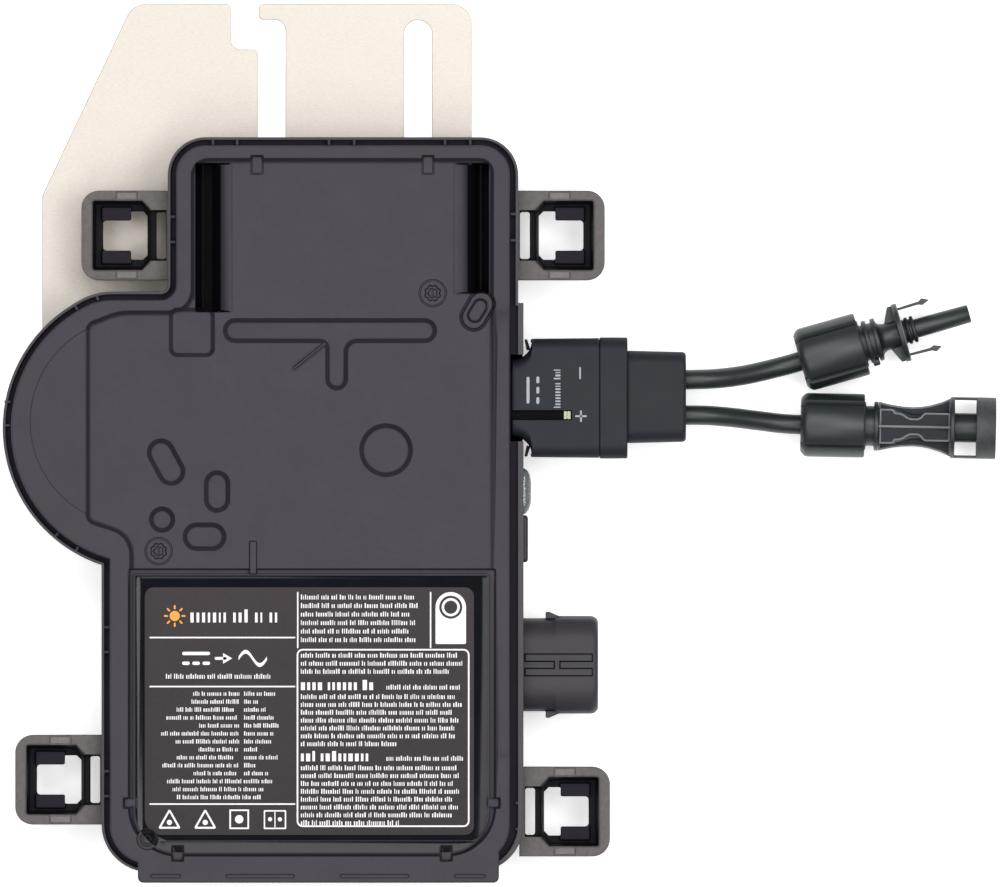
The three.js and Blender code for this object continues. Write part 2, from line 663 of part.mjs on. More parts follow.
/** Sprung latch in each scooped corner, hooked on the housing's wall. */
const LATCH = { root: { x: 52.1, y: 14.25 }, tip: { x: 51.9, y: 16.4 }, r: 0.45 };
[['upper', 1], ['lower', -1]].forEach(([name, side]) => {
  const { root, tip } = LATCH;
  const points = slot(root.x, PLUG.y + side * root.y, tip.x, PLUG.y + side * tip.y, LATCH.r);
  const arm = prismGeometry(points, CONNECTOR_Z - 4.5, CONNECTOR_Z + 4.5);
  place(`dc_plug_latch_${name}`, arm, MATERIAL.plug, plug);
});

// ---------------------------------------------------------------- leads

/** Points that each lead follows from inside the boot to inside its connector. */
const LEAD_ROUTES = {
  minus: [
    [94, 18, 16.5], [95.8, 18, 16.5], [97.5, 18, 16.5], [100.8, 18.1, 16.35], [104, 18.2, 16],
    [108, 18.5, 14.9], [112, 19, 13.4], [116, 19.7, 11.95], [120, 20.6, 10.7], [123.2, 21.4, 9.95],
    [126.4, 22.2, 9.6], [130.2, 23.3, 9.5], [133.5, 24.25, 9.5], [136.9, 25.2, 9.5],
    [140.2, 26.12, 9.5], [143.4, 27.03, 9.5],
  ],
  plus: [
    [94, 7.9, 16.5], [95.8, 7.9, 16.5], [97.5, 7.9, 16.5], [100.8, 7.88, 16.35], [104, 7.8, 16],
    [108, 7.5, 14.9], [112, 7.1, 13.4], [116, 6.6, 11.95], [120, 6.1, 10.7], [123.2, 5.7, 9.95],
    [126.4, 5.4, 9.6], [130.3, 5.2, 9.5], [133.8, 5.13, 9.5], [137.3, 5.07, 9.5],
    [140.8, 5, 9.5], [144.3, 4.93, 9.5],
  ],
};

const LEAD_STEPS = 18;
Object.entries(LEAD_ROUTES).forEach(([sign, route]) => {
  const points = route.map((p) => new THREE.Vector3(...p));
  const path = new THREE.CatmullRomCurve3(points, false, 'centripetal');
  const section = new THREE.Shape(arc(0, 0, LEAD.r, 0, 320).map((p) => new THREE.Vector2(...p)));
  const options = { steps: LEAD_STEPS, extrudePath: path, bevelEnabled: false };
  const tube = new THREE.ExtrudeGeometry(section, options);
  place(`dc_lead_${sign}`, tube, MATERIAL.rubber, plug);
});

// ---------------------------------------------------------------- lead connectors

/** Group whose +X is a connector's own axis, starting at the rear of its nut. */
function connectorFrame({ x, y, turn }) {
  const frame = new THREE.Group();
  frame.position.set(x, y, CONNECTOR.low);
  frame.rotation.z = THREE.MathUtils.degToRad(turn);
  plug.add(frame);
  return frame;
}

/** Gland nut: four broad lobes parted by grooves, tapered at the rear. */
function glandNut() {
  const outer = turnedAlongX([
    [0, 0], [6.9, 0], [CONNECTOR.r, 2.6], [CONNECTOR.r, CONNECTOR.nut], [0, CONNECTOR.nut],
  ], 32);
  const grooves = [45, 135, 225, 315].map((turn) => {
    const a = THREE.MathUtils.degToRad(turn);
    return along(circle(9.7 * Math.cos(a), 9.7 * Math.sin(a), 2), 2.2, CONNECTOR.nut + 1);
  });
  const bore = along(circle(0, 0, LEAD.r + 0.5), -1, 5);
  const inside = along(circle(0, 0, 7.1), 3.6, CONNECTOR.nut + 1);
  return without(outer, [...grooves, bore, inside]);
}

/** Bores shared by both bodies: gland seal, lead end and contact. */
const bodyBores = (contactEnd) => [
  along(circle(0, 0, 4.9), 4, 13.6),
  along(circle(0, 0, LEAD.r + 0.4), 4, 14.6),
  along(circle(0, 0, 1.8), 4, contactEnd),
];

const glandSeal = () => without(
  along(circle(0, 0, 4.6), 4.6, 13.3),
  [along(circle(0, 0, LEAD.r + 0.4), 3, 20)],
);

const bar = (r, x0, x1) => along(circle(0, 0, r), x0, x1);

function minusBody() {
  const disc = 29.2;
  const gusset = (side) => prism(side > 0
    ? outline([[25.4, 3], [disc + 0.4, 3], [disc + 0.4, 8.1], [28.2, 8.1]])
    : outline([[25.4, -3], [28.2, -8.1], [disc + 0.4, -8.1], [disc + 0.4, -3]]), -0.9, 0.9);
  const parts = [
    bar(6.8, 4.3, 18.6), bar(5.2, 18.4, 23.6), bar(6.2, 19.6, 20.8), bar(6.2, 22.2, 23.4),
    bar(3.9, 23, 32), bar(8.5, disc, disc + 1.4), bar(3.9, 31.6, 32.6), bar(3, 32.4, 34.4),
    bar(3.9, 33.2, 34.2), bar(2.65, 34, 50.2),
    gusset(1), gusset(-1),
  ];
  return without(union(parts), bodyBores(60));
}

/** Barbed spring arm, drawn on the +Y side of the connector's axis. */
function springArm(side) {
  const points = outline([[31, 6.2], [36.8, 6.4], [38, 5.9], [40.2, 6.9], [38.2, 8], [37.2, 7.3], [31, 7.1]]
    .map(([x, y]) => [x, side * y]));
  return prismGeometry(points, -2, 2);
}

/** Upright fin with a waisted outer edge. */
function fin() {
  const waist = (side) => [
    [22.3, side * 7], [26, side * 6.1], [32, side * 5.6], [37, side * 6.2], [42.9, side * 8.4],
  ];
  return prism(outline([...waist(-1), ...waist(1).reverse()]), -0.8, 0.8);
}

function plusBody() {
  const upright = fin().rotate([90, 0, 0]);
  const windowBar = (side) => along(outline([
    ...arc(0, 0, 8.8, side * 90 - 18, side * 90 + 18),
    ...arc(0, 0, 7.9, side * 90 + 18, side * 90 - 18),
  ]), 43, 50.4).rotate([90, 0, 0]);
  const parts = [
    bar(6.8, 4.3, 18.6), bar(5.7, 18.4, 22.4), bar(7, 21, 22.2), bar(4.7, 22, 50.6), fin(), upright,
    bar(8.8, 42.8, 44), windowBar(1), windowBar(-1),
    without(bar(8.8, 50, 55.8), [bar(7.2, 51.4, 60)]), bar(4.7, 50.6, 54.6),
  ];
  return without(union(parts), [...bodyBores(40), bar(3.5, 38, 60)]);
}

const minus = connectorFrame(MINUS);
place('minus_connector_nut', glandNut(), MATERIAL.connector, minus);
place('minus_connector_body', minusBody(), MATERIAL.connector, minus);
place('minus_connector_seal', glandSeal(), MATERIAL.rubber, minus);
place('minus_connector_contact', alongGeometry(circle(0, 0, 1.5), 14.9, 48.6), MATERIAL.brass, minus);
place('minus_connector_arm_1', springArm(1), MATERIAL.connector, minus);
place('minus_connector_arm_2', springArm(-1), MATERIAL.connector, minus);

const plus = connectorFrame(PLUS);
place('plus_connector_nut', glandNut(), MATERIAL.connector, plus);
place('plus_connector_body', plusBody(), MATERIAL.connector, plus);
place('plus_connector_seal', glandSeal(), MATERIAL.rubber, plus);
place('plus_connector_contact', alongGeometry(circle(0, 0, 1.5), 14.9, 49), MATERIAL.brass, plus);


export default assembly;
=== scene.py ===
"""Panel-level solar micro inverter on its steel bracket, with the two-lead input plug.

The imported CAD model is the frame. Shapes below are drawn in millimetres and turned into
metres when a piece is made. +Z points out of the labelled cover, +Y to the bracket's hooks.
"""

import json
import random
from collections import namedtuple
from math import acos, atan2, ceil, cos, degrees, pi, radians, sin, sqrt, tan

import bmesh
import bpy
import numpy as np
from mathutils import Matrix, Vector
from mathutils.geometry import delaunay_2d_cdt, tessellate_polygon


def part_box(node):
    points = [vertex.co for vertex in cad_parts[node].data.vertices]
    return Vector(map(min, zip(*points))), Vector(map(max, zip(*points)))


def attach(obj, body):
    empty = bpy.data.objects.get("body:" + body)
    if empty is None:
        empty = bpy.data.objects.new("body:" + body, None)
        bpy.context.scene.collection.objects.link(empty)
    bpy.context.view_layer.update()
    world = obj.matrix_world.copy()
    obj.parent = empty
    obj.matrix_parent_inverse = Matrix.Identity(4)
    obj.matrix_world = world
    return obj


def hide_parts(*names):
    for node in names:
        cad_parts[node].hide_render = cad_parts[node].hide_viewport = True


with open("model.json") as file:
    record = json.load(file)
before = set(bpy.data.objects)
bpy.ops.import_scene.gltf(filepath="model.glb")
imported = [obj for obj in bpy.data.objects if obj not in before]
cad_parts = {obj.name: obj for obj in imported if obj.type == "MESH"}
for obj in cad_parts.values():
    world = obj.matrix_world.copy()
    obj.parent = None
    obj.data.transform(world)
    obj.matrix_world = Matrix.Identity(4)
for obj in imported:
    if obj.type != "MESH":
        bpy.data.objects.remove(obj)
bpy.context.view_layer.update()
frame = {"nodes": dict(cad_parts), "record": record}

MM = 0.001

# -------- camera

VIEW_WIDTH = 285.3          # width of what the camera sees, at the height of the cover
VIEW_CENTRE = (44.4, -0.2)
VIEW_HEIGHT = 30.0
CAMERA_HEIGHT = 12000.0
SENSOR_WIDTH = 36.0
CLIP_END = 100.0            # metres


def linked(name, data):
    """New object in the scene."""
    made = bpy.data.objects.new(name, data)
    bpy.context.scene.collection.objects.link(made)
    return made


def add_camera():
    """Camera high above the cover, looking straight down."""
    data = bpy.data.cameras.new("camera")
    data.sensor_width = SENSOR_WIDTH
    data.lens = SENSOR_WIDTH * (CAMERA_HEIGHT - VIEW_HEIGHT) / VIEW_WIDTH
    data.clip_end = CLIP_END
    camera = linked("camera", data)
    camera.location = (VIEW_CENTRE[0] * MM, VIEW_CENTRE[1] * MM, CAMERA_HEIGHT * MM)
    bpy.context.scene.camera = camera


add_camera()

# -------- materials

MATERIALS = {}
NOISE_LOW, NOISE_HIGH = 0.3, 0.7    # where nearly all values of a noise texture lie


def put(node, **values):
    """Sets inputs of a shader node; an underscore stands for a space in their names."""
    for name, value in values.items():
        node.inputs[name.replace("_", " ")].default_value = value


def shader_base(name, color, roughness, metallic=0.0):
    """Makes a material; returns its node tree, its shader node and its object coordinates."""
    material = bpy.data.materials.new(name)
    MATERIALS[name] = material
    material.use_nodes = True
    tree = material.node_tree
    shader = tree.nodes["Principled BSDF"]
    put(shader, Base_Color=(*color, 1.0), Roughness=roughness, Metallic=metallic)
    coordinates = tree.nodes.new("ShaderNodeTexCoord").outputs["Object"]
    return tree, shader, coordinates


def noise(tree, vector, size, detail=2.0, stretch=None):
    """Noise whose features are about size millimetres across; stretch scales them per axis."""
    if stretch:
        mapping = tree.nodes.new("ShaderNodeMapping")
        put(mapping, Scale=[1 / s for s in stretch])
        tree.links.new(vector, mapping.inputs["Vector"])
        vector = mapping.outputs["Vector"]
    node = tree.nodes.new("ShaderNodeTexNoise")
    put(node, Scale=1 / (size * MM), Detail=detail)
    tree.links.new(vector, node.inputs["Vector"])
    return node.outputs["Fac"]


def spread(tree, value, low, high):
    """Noise value widened to run from low to high."""
    node = tree.nodes.new("ShaderNodeMapRange")
    put(node, From_Min=NOISE_LOW, From_Max=NOISE_HIGH, To_Min=low, To_Max=high)
    tree.links.new(value, node.inputs["Value"])
    return node.outputs["Result"]


def tint(tree, shader, value, color, shift):
    """Base colour that drifts around its tone by plus or minus shift."""
    ramp = tree.nodes.new("ShaderNodeValToRGB")
    ends = ((NOISE_LOW, 1 - shift), (NOISE_HIGH, 1 + shift))
    for element, (position, share) in zip(ramp.color_ramp.elements, ends):
        element.position = position
        element.color = (*[c * share for c in color], 1.0)
    tree.links.new(value, ramp.inputs["Fac"])
    tree.links.new(ramp.outputs["Color"], shader.inputs["Base Color"])


def bump(tree, shader, value, depth):
    """Relief in the surface, depth millimetres high."""
    node = tree.nodes.new("ShaderNodeBump")
    put(node, Strength=1.0, Distance=depth * MM)
    tree.links.new(value, node.inputs["Height"])
    tree.links.new(node.outputs["Normal"], shader.inputs["Normal"])


def moulded(name, color, roughness, grain=0.55, depth=0.02, shift=0.08, specular=0.5):
    """Injection-moulded plastic with an eroded grain and slight clouds in tone and gloss."""
    tree, shader, coordinates = shader_base(name, color, roughness)
    put(shader, Specular_IOR_Level=specular)
    tint(tree, shader, noise(tree, coordinates, 1.1, 5.0), color, shift)
    gloss = spread(tree, noise(tree, coordinates, 9.0), roughness - 0.02, roughness + 0.02)
    tree.links.new(gloss, shader.inputs["Roughness"])
    bump(tree, shader, noise(tree, coordinates, grain, 3.0), depth)


def metal(name, color, roughness, size=0.4, metallic=1.0, stretch=None, shift=0.06, depth=0.004):
    """Drawn, brushed or turned metal; stretch sets the direction of its marks."""
    tree, shader, coordinates = shader_base(name, color, roughness, metallic)
    marks = noise(tree, coordinates, size, 4.0, stretch)
    tint(tree, shader, marks, color, shift)
    gloss = spread(tree, marks, roughness - 0.08, roughness + 0.08)
    tree.links.new(gloss, shader.inputs["Roughness"])
    bump(tree, shader, marks, depth)


def clear(name, color, roughness):
    """Clear moulded plastic."""
    tree, shader, coordinates = shader_base(name, color, roughness)
    put(shader, Transmission_Weight=0.85, IOR=1.49)
    bump(tree, shader, noise(tree, coordinates, 2.0), 0.01)


moulded("cover_plastic", (0.022, 0.018, 0.028), 0.62, specular=0.45)
moulded("housing_plastic", (0.024, 0.021, 0.029), 0.6, specular=0.45)
# painted highlight: lighter copies of the housing plastic for the ears and, lighter still, for their
# pad tops, where light falls on them
moulded("ear_pad_painted_highlight", (0.125, 0.115, 0.112), 0.55, shift=0.16)
moulded("ear_plastic_painted_highlight", (0.082, 0.074, 0.071), 0.6, shift=0.16)
# painted highlight: lighter plastic along the top of the housing's lip
moulded("lip_painted_highlight", (0.036, 0.032, 0.037), 0.6, shift=0.12)
# painted shade: near-black plastic laid where shade falls, in the cover's trenches, the plug's channel
# and around the outlet's rails
moulded("recess_painted_shade", (0.0022, 0.0020, 0.0034), 0.75, specular=0.08)
moulded("shade", (0.0052, 0.0048, 0.0068), 0.7, specular=0.16)
moulded("bed_gloss", (0.0028, 0.0028, 0.0062), 0.16, depth=0.002, specular=0.18)
moulded("plug_plastic", (0.0082, 0.0098, 0.0155), 0.6, grain=0.4, depth=0.012, specular=0.29)
moulded("connector_plastic", (0.0095, 0.0138, 0.0140), 0.42, grain=0.4, depth=0.008)
# painted highlight: light plastic for the bright rims of the connectors' fins, spine and disc
moulded("connector_painted_highlight", (0.105, 0.115, 0.116), 0.4, grain=0.4, depth=0.008)
moulded("collar_plastic", (0.030, 0.033, 0.034), 0.55, grain=0.7, depth=0.05, shift=0.3)
# painted shade: dark tone on the housing's ledge in the groove beneath the lip and on the ears' step
# ledges
moulded("groove", (0.0150, 0.0125, 0.0195), 0.7, specular=0.12)
moulded("rubber", (0.010, 0.010, 0.011), 0.75, grain=0.3, depth=0.02, specular=0.3)
moulded("cable_jacket", (0.008, 0.012, 0.012), 0.4, grain=0.5, depth=0.012)
moulded("label", (0.0158, 0.0100, 0.0118), 0.5, grain=0.5, depth=0.006, shift=0.14, specular=0.3)
moulded("ink", (0.80, 0.78, 0.79), 0.5, depth=0.004, shift=0.03)
moulded("ink_orange", (0.80, 0.30, 0.03), 0.45, depth=0.004, shift=0.05)
moulded("mark_grey", (0.32, 0.34, 0.37), 0.5, depth=0.004, shift=0.05)
moulded("insert", (0.42, 0.47, 0.30), 0.45, grain=0.3)
moulded("board", (0.014, 0.075, 0.035), 0.4, grain=0.8)
moulded("ferrite", (0.03, 0.03, 0.032), 0.65, grain=0.25, depth=0.03)
moulded("can", (0.045, 0.05, 0.09), 0.35)
moulded("film_block", (0.33, 0.2, 0.05), 0.45)
moulded("chip", (0.012, 0.012, 0.013), 0.5)
moulded("relay_block", (0.03, 0.11, 0.25), 0.4)
moulded("fuse_body", (0.7, 0.68, 0.62), 0.3)
moulded("lamp", (0.8, 0.78, 0.6), 0.3)
clear("lens", (0.8, 0.84, 0.88), 0.12)
metal("steel", (0.42, 0.385, 0.348), 0.42, 0.22, 0.9, (5.0, 1.0, 1.0), 0.09)
metal("screw_steel", (0.62, 0.63, 0.65), 0.32)
metal("aluminium", (0.6, 0.62, 0.64), 0.4, 0.4, 1.0, (10.0, 1.0, 1.0))
metal("brass", (0.72, 0.50, 0.20), 0.3, 0.3, 1.0, (8.0, 1.0, 1.0))
metal("copper_winding", (0.55, 0.22, 0.09), 0.35, 1.1, 1.0, (1.0, 1.0, 9.0), 0.2, 0.15)


def dress_cad_nodes():
    """Every CAD node gets the material of its slot; the ones replaced below are hidden."""
    slots = {part["node"]: part["material_slot"] for part in frame["record"]["subparts"]}
    for name, node in frame["nodes"].items():
        for place in node.material_slots:
            place.link = "OBJECT"
            place.material = MATERIALS[slots[name]]


dress_cad_nodes()

# -------- outlines

CHORD_ERROR = 0.02


def arc(x, y, r, start, end):
    """Points along an arc, angles in degrees, both ends included."""
    step = min(15.0, degrees(2 * acos(1 - CHORD_ERROR / max(r, 0.05))))
    count = max(2, ceil(abs(end - start) / step))
    angles = [radians(start + (end - start) * i / count) for i in range(count + 1)]
    return [(x + r * cos(a), y + r * sin(a)) for a in angles]


def outline(corners):
    """Closed outline from corners (x, y, radius); a corner without a radius stays sharp."""
    points = []
    for i, corner in enumerate(corners):
        here = Vector(corner[:2])
        r = corner[2] if len(corner) > 2 else 0
        if r == 0:
            points.append(tuple(here))
            continue
        back = (Vector(corners[i - 1][:2]) - here).normalized()
        ahead = (Vector(corners[(i + 1) % len(corners)][:2]) - here).normalized()
        half = back.angle(ahead) / 2
        centre = here + (back + ahead).normalized() * (r / sin(half))
        reach = r / tan(half)
        first = here + back * reach - centre
        last = here + ahead * reach - centre
        start = degrees(atan2(first.y, first.x))
        sweep = degrees(atan2(last.y, last.x)) - start
        sweep -= 360 * round(sweep / 360)
        points.extend(arc(centre.x, centre.y, r, start, start + sweep))
    return points


def rectangle(x0, y0, x1, y1, r=0.0):
    return outline([(x0, y0, r), (x1, y0, r), (x1, y1, r), (x0, y1, r)])


def circle(x, y, r):
    return arc(x, y, r, 0, 360)[1:]


def slot(x0, y0, x1, y1, r):
    """Round-ended slot between two centres."""
    heading = degrees(atan2(y1 - y0, x1 - x0))
    return arc(x1, y1, r, heading - 90, heading + 90) + arc(x0, y0, r, heading + 90, heading + 270)


def inset(loop, distance):
    """The same loop moved to its left side, which is inwards for an anticlockwise loop."""
    moved = []
    for i, point in enumerate(loop):
        here = Vector(point[:2])
        a = (here - Vector(loop[i - 1][:2])).normalized()
        b = (Vector(loop[(i + 1) % len(loop)][:2]) - here).normalized()
        normal = Vector((-a.y - b.y, a.x + b.x)).normalized()
        share = max(0.3, normal.dot(Vector((-a.y, a.x))))
        moved.append(tuple(here + normal * (distance / share)))
    return moved


def distance_inside(points, loop):
    """Distance from each point to the loop, positive inside it."""
    ends = np.asarray(loop)
    starts = np.roll(ends, 1, axis=0)
    nearest = np.full(len(points), 1e9)
    inside = np.zeros(len(points), bool)
    px, py = points[:, 0], points[:, 1]
    for (ax, ay), (bx, by) in zip(starts, ends):
        dx, dy = bx - ax, by - ay
        share = ((px - ax) * dx + (py - ay) * dy) / max(dx * dx + dy * dy, 1e-12)
        share = np.clip(share, 0, 1)
        nearest = np.minimum(nearest, np.hypot(px - ax - share * dx, py - ay - share * dy))
        if dy != 0:
            crossing = (ay > py) != (by > py)
            inside ^= crossing & (px < ax + (py - ay) * dx / dy)
    return np.where(inside, nearest, -nearest)


# -------- forms


class Form:
    """Vertices and faces of one piece, in millimetres, with a material number per face."""

    def __init__(self):
        self.verts = []
        self.faces = []
        self.kinds = []

    def ring(self, points):
        start = len(self.verts)
        self.verts.extend(tuple(p) for p in points)
        return list(range(start, len(self.verts)))

    def face(self, corners, kind=0):
        self.faces.append(tuple(corners))
        self.kinds.append(kind)

    def bridge(self, a, b, kind=0):
        """Band of quads between two closed rings of the same count."""
        for i in range(len(a)):
            self.face((a[i - 1], b[i - 1], b[i], a[i]), kind)

    def chain(self, rings, kind=0, closed=False):
        pairs = zip(rings, rings[1:] + rings[:1]) if closed else zip(rings, rings[1:])
        for a, b in pairs:
            self.bridge(a, b, kind)

    def fill(self, rings, kind=0):
        """Flat face inside the first ring and outside the others."""
        loops = [[Vector(self.verts[i]) for i in ring] for ring in rings]
        flat = [i for ring in rings for i in ring]
        for triangle in tessellate_polygon(loops):
            self.face([flat[i] for i in triangle], kind)

    def at(self, x, y, z=0.0, turned=Matrix.Identity(4)):
        """Turns the form about the origin and moves it to a place."""
        matrix = Matrix.Translation((x, y, z)) @ turned
        self.verts = [tuple(matrix @ Vector(v)) for v in self.verts]
        return self

    def join(self, other):
        start = len(self.verts)
        self.verts.extend(other.verts)
        self.faces.extend(tuple(i + start for i in face) for face in other.faces)
        self.kinds.extend(other.kinds)
        return self


def lifted(loop, z):
    """Flat loop set at a height."""
    return [(x, y, z) for x, y in loop]


def about_z(angle):
    """Turn about Z, in degrees."""
    return Matrix.Rotation(radians(angle), 4, "Z")


UPRIGHT = Matrix.Rotation(radians(-90), 4, "Y")
QUARTER = Matrix.Rotation(radians(90), 4, "X")
SIDES = {"upper": 1, "lower": -1}


def facing(loop, side):
    """Loop drawn for either side, made anticlockwise."""
    return loop if side > 0 else loop[::-1]


def lofted(sections):
    """Closed skin through sections of the same count, capped at both ends."""
    form = Form()
    rings = [form.ring(section) for section in sections]
    form.chain(rings)
    form.face(rings[0])
    form.face(list(reversed(rings[-1])))
    return form


def lathe(profile, segments=64, closed=True, lobes=None):
    """Profile of (distance along X, radius) turned about X; lobes reshapes a radius."""
    sections = []
    for s, r in profile:
        section = []
        for i in range(segments):
            a = 2 * pi * i / segments
            reach = lobes(r, a) if lobes else r
            section.append((s, reach * cos(a), reach * sin(a)))
        sections.append(section)
    if not closed:
        return lofted(sections)
    form = Form()
    form.chain([form.ring(section) for section in sections], closed=True)
    return form


def rounded_section(x, y, z, width, height, r):
    """Rounded rectangle in the YZ plane at x, always with the same number of points."""
    r = min(r, width / 2 - 0.01, height / 2 - 0.01)
    points = []
    for sy, sz, start in ((1, -1, -90), (1, 1, 0), (-1, 1, 90), (-1, -1, 180)):
        cy = y + sy * (width / 2 - r)
        cz = z + sz * (height / 2 - r)
        for i in range(9):
            a = radians(start + 90 * i / 8)
            points.append((x, cy + r * cos(a), cz + r * sin(a)))
    return points


def bar(x0, x1, y, z, width, height, r, soft=0.4, taper=0.0):
    """Rounded bar along X with soft ends; taper narrows it towards x1."""
    sections = []
    turns = [radians(15 * i) for i in range(7)]
    for a in turns:
        cut = 2 * soft * (1 - sin(a))
        x = x0 + soft * (1 - cos(a))
        sections.append(rounded_section(x, y, z, width - cut, height - cut, r - cut / 2))
    for a in reversed(turns):
        cut = 2 * soft * (1 - sin(a))
        x = x1 - soft * (1 - cos(a))
        w, h = width - taper - cut, height - taper - cut
        sections.append(rounded_section(x, y, z, w, h, r - cut / 2))
    return lofted(sections)


def block(x0, y0, z0, x1, y1, z1, soft=0.15):
    """Small box with softened upright and top edges."""
    loop = rectangle(x0, y0, x1, y1, soft)
    levels = [(loop, z0), (loop, z1 - soft), (inset(loop, soft * 0.8), z1)]
    return lofted([lifted(*level) for level in levels])


def box_form(x0, y0, z0, x1, y1, z1):
    """Sharp box, used to cut."""
    return lofted([[(x0, y0, z), (x1, y0, z), (x1, y1, z), (x0, y1, z)] for z in (z0, z1)])


# -------- reliefs

Feature = namedtuple("Feature", "loop profile target")


def drop(height, start=0.0, top=0.15, draft=0.08, foot=0.6):
    """Wall from an upper to a lower level: (distance inside, share of the drop)."""
    scale = min(1.0, 0.98 * height / (top + foot))
    top, foot = top * scale, foot * scale
    turns = [radians(a) for a in (0, 22.5, 45, 67.5, 90)]
    upper = [(start - top + top * sin(a), (top - top * cos(a)) / height) for a in turns]
    lower = [
        (start + draft + foot - foot * cos(a), (height - foot + foot * sin(a)) / height)
        for a in turns
    ]
    return upper + lower


def step(loop, target, height, *shape, start=0.0):
    """Feature whose wall stands on the loop and is shaped by drop."""
    return Feature(loop, drop(height, start, *shape), target)


def edge_round(loop, r, outside=False):
    """Soft edge of radius r along a boundary; outside for the edge of a hole."""
    turns = [radians(a) for a in (0, 18, 36, 54, 72, 90)]
    profile = [(r - r * cos(a), 1 - sin(a)) for a in turns]
    if outside:
        profile = [(-d, share) for d, share in reversed(profile)]
    return Feature(loop, profile, lambda z, xy: z - r)


def heights(xy, features, base):
    """Height of each point after every feature has pulled it towards its own level."""
    z = base(xy) if callable(base) else np.full(len(xy), float(base))
    for loop, profile, target in features:
        ends = np.asarray(loop)
        reach = max(0.0, -profile[0][0]) + 0.01
        near = np.all((xy > ends.min(axis=0) - reach) & (xy < ends.max(axis=0) + reach), axis=1)
        if not near.any():
            continue
        inside = distance_inside(xy[near], loop)
        share = np.interp(inside, [d for d, _ in profile], [s for _, s in profile])
        goal = target(z[near], xy[near]) if callable(target) else target
        z[near] += (goal - z[near]) * share
    return z


def border_rings(faces):
    """Directed border loops of a set of triangles."""
    directed = {(f[i], f[(i + 1) % 3]) for f in faces for i in range(3)}
    onward = {}
    for a, b in sorted(directed):
        if (b, a) not in directed:
            onward.setdefault(a, []).append(b)
    rings = []
    while onward:
        start = min(onward)
        ring = [start]
        while ring[-1] in onward:
            choices = onward[ring[-1]]
            ring.append(choices.pop())
            if not choices:
                del onward[ring[-2]]
            if ring[-1] == start:
                break
        rings.append(ring[:-1])
    return rings


def relief(form, boundary, features, base, soft, holes=(), lines=(), kinds=()):
    """Adds a surface over the boundary, with soft edges, and returns its border rings.

    Each feature's outline, moved to every distance of its profile, becomes edges of the
    surface, so that walls and fillets are clean bands. kinds gives (loop, material number).
    """
    points, edges = [], []
    rounds = [edge_round(boundary, soft)]
    rounds += [edge_round(hole, soft, outside=True) for hole in holes]

    def add(path, closed=True):
        start = len(points)
        count = len(path)
        points.extend(Vector(p[:2]) for p in path)
        last = count if closed else count - 1
        edges.extend((start + i, start + (i + 1) % count) for i in range(last))

    add(boundary)
    for hole in holes:
        add(hole)
    for feature in [*features, *rounds]:
        for distance, _ in feature.profile:
            if distance != 0 or feature not in rounds:
                add(inset(feature.loop, distance))
    for line in lines:
        add(line, closed=False)
    coords, _, triangles, *_ = delaunay_2d_cdt(points, edges, [], 0, 1e-4)
    xy = np.array([tuple(p) for p in coords])
    corners = np.array(triangles)
    middles = xy[corners].mean(axis=1)
    keep = distance_inside(middles, boundary) > 0
    for hole in holes:
        keep &= distance_inside(middles, hole) < 0
    corners, middles = corners[keep], middles[keep]
    number = np.zeros(len(corners), int)
    for loop, kind in kinds:
        number[distance_inside(middles, loop) > 0] = kind
    used = np.unique(corners)
    z = heights(xy[used], [*features, *rounds], base)
    index = dict(zip(used.tolist(), form.ring(np.column_stack([xy[used], z]).tolist())))
    faces = [tuple(index[i] for i in triangle) for triangle in corners.tolist()]
    for face, kind in zip(faces, number.tolist()):
        form.face(face, kind)
    return border_rings(faces)


def wall_down(form, ring, bottom, soft=0.3):
    """Carries a border ring straight down and rounds it under; returns the last ring."""
    path = [form.verts[i] for i in ring]
    rings = [ring]
    for a in (0, 30, 60, 90):
        turn = radians(a)
        moved = inset(path, soft * (1 - cos(turn)))
        rings.append(form.ring(lifted(moved, bottom + soft * (1 - sin(turn)))))
    form.chain(rings)
    return rings[-1]


def relief_solid(boundary, features, base, bottom, holes=(), soft=0.3):
    """Closed body with a worked top, upright walls, and a flat underside."""
    form = Form()
    rings = relief(form, boundary, features, base, soft, holes)
    rings.sort(key=lambda ring: min(form.verts[i][0] for i in ring))
    form.fill([wall_down(form, ring, bottom, soft) for ring in rings])
    return form


def plate(boundary, z0, z1, soft=0.2, holes=()):
    """Flat plate with softened edges."""
    return relief_solid(boundary, [], z1, z0, holes, soft)


# -------- pieces


WELD = 1e-4
SHARP_ANGLE = 38.0


def mesh_of(name, form, looks=()):
    """Blender mesh of a form, in metres, with its faces turned outwards."""
    mesh = bpy.data.meshes.new(name)
    mesh.from_pydata([(x * MM, y * MM, z * MM) for x, y, z in form.verts], [], form.faces)
    for look in looks:
        mesh.materials.append(MATERIALS[look])
    mesh.polygons.foreach_set("material_index", form.kinds)
    work = bmesh.new()
    work.from_mesh(mesh)
    bmesh.ops.remove_doubles(work, verts=work.verts, dist=WELD * MM)
    bmesh.ops.recalc_face_normals(work, faces=work.faces)
    work.to_mesh(mesh)
    work.free()
    return mesh


def piece(name, form, slot_name="housing_plastic", body="inverter", replaces=(), looks=None,
          angle=SHARP_ANGLE):
    """Makes a Blender object from a form and ties it to the frame."""
    mesh = mesh_of(name, form, looks or [slot_name])
    mesh.shade_smooth()
    mesh.set_sharp_from_angle(angle=radians(angle))
    made = linked(name, mesh)
    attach(made, body)
    if replaces:
        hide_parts(*replaces)
    return made


def paint(made, look, low, high):
    """Gives the faces whose middles lie in a box, in millimetres, another look."""
    number = len(made.data.materials)
    made.data.materials.append(MATERIALS[look])
    for face in made.data.polygons:
        if all(a < v / MM < b for a, v, b in zip(low, face.center, high)):
            face.material_index = number


def even_normals(made):
    """Shades flat faces flat beside their soft edges."""
    modifier = made.modifiers.new("even_normals", "WEIGHTED_NORMAL")
    modifier.keep_sharp = True
    modifier.weight = 60


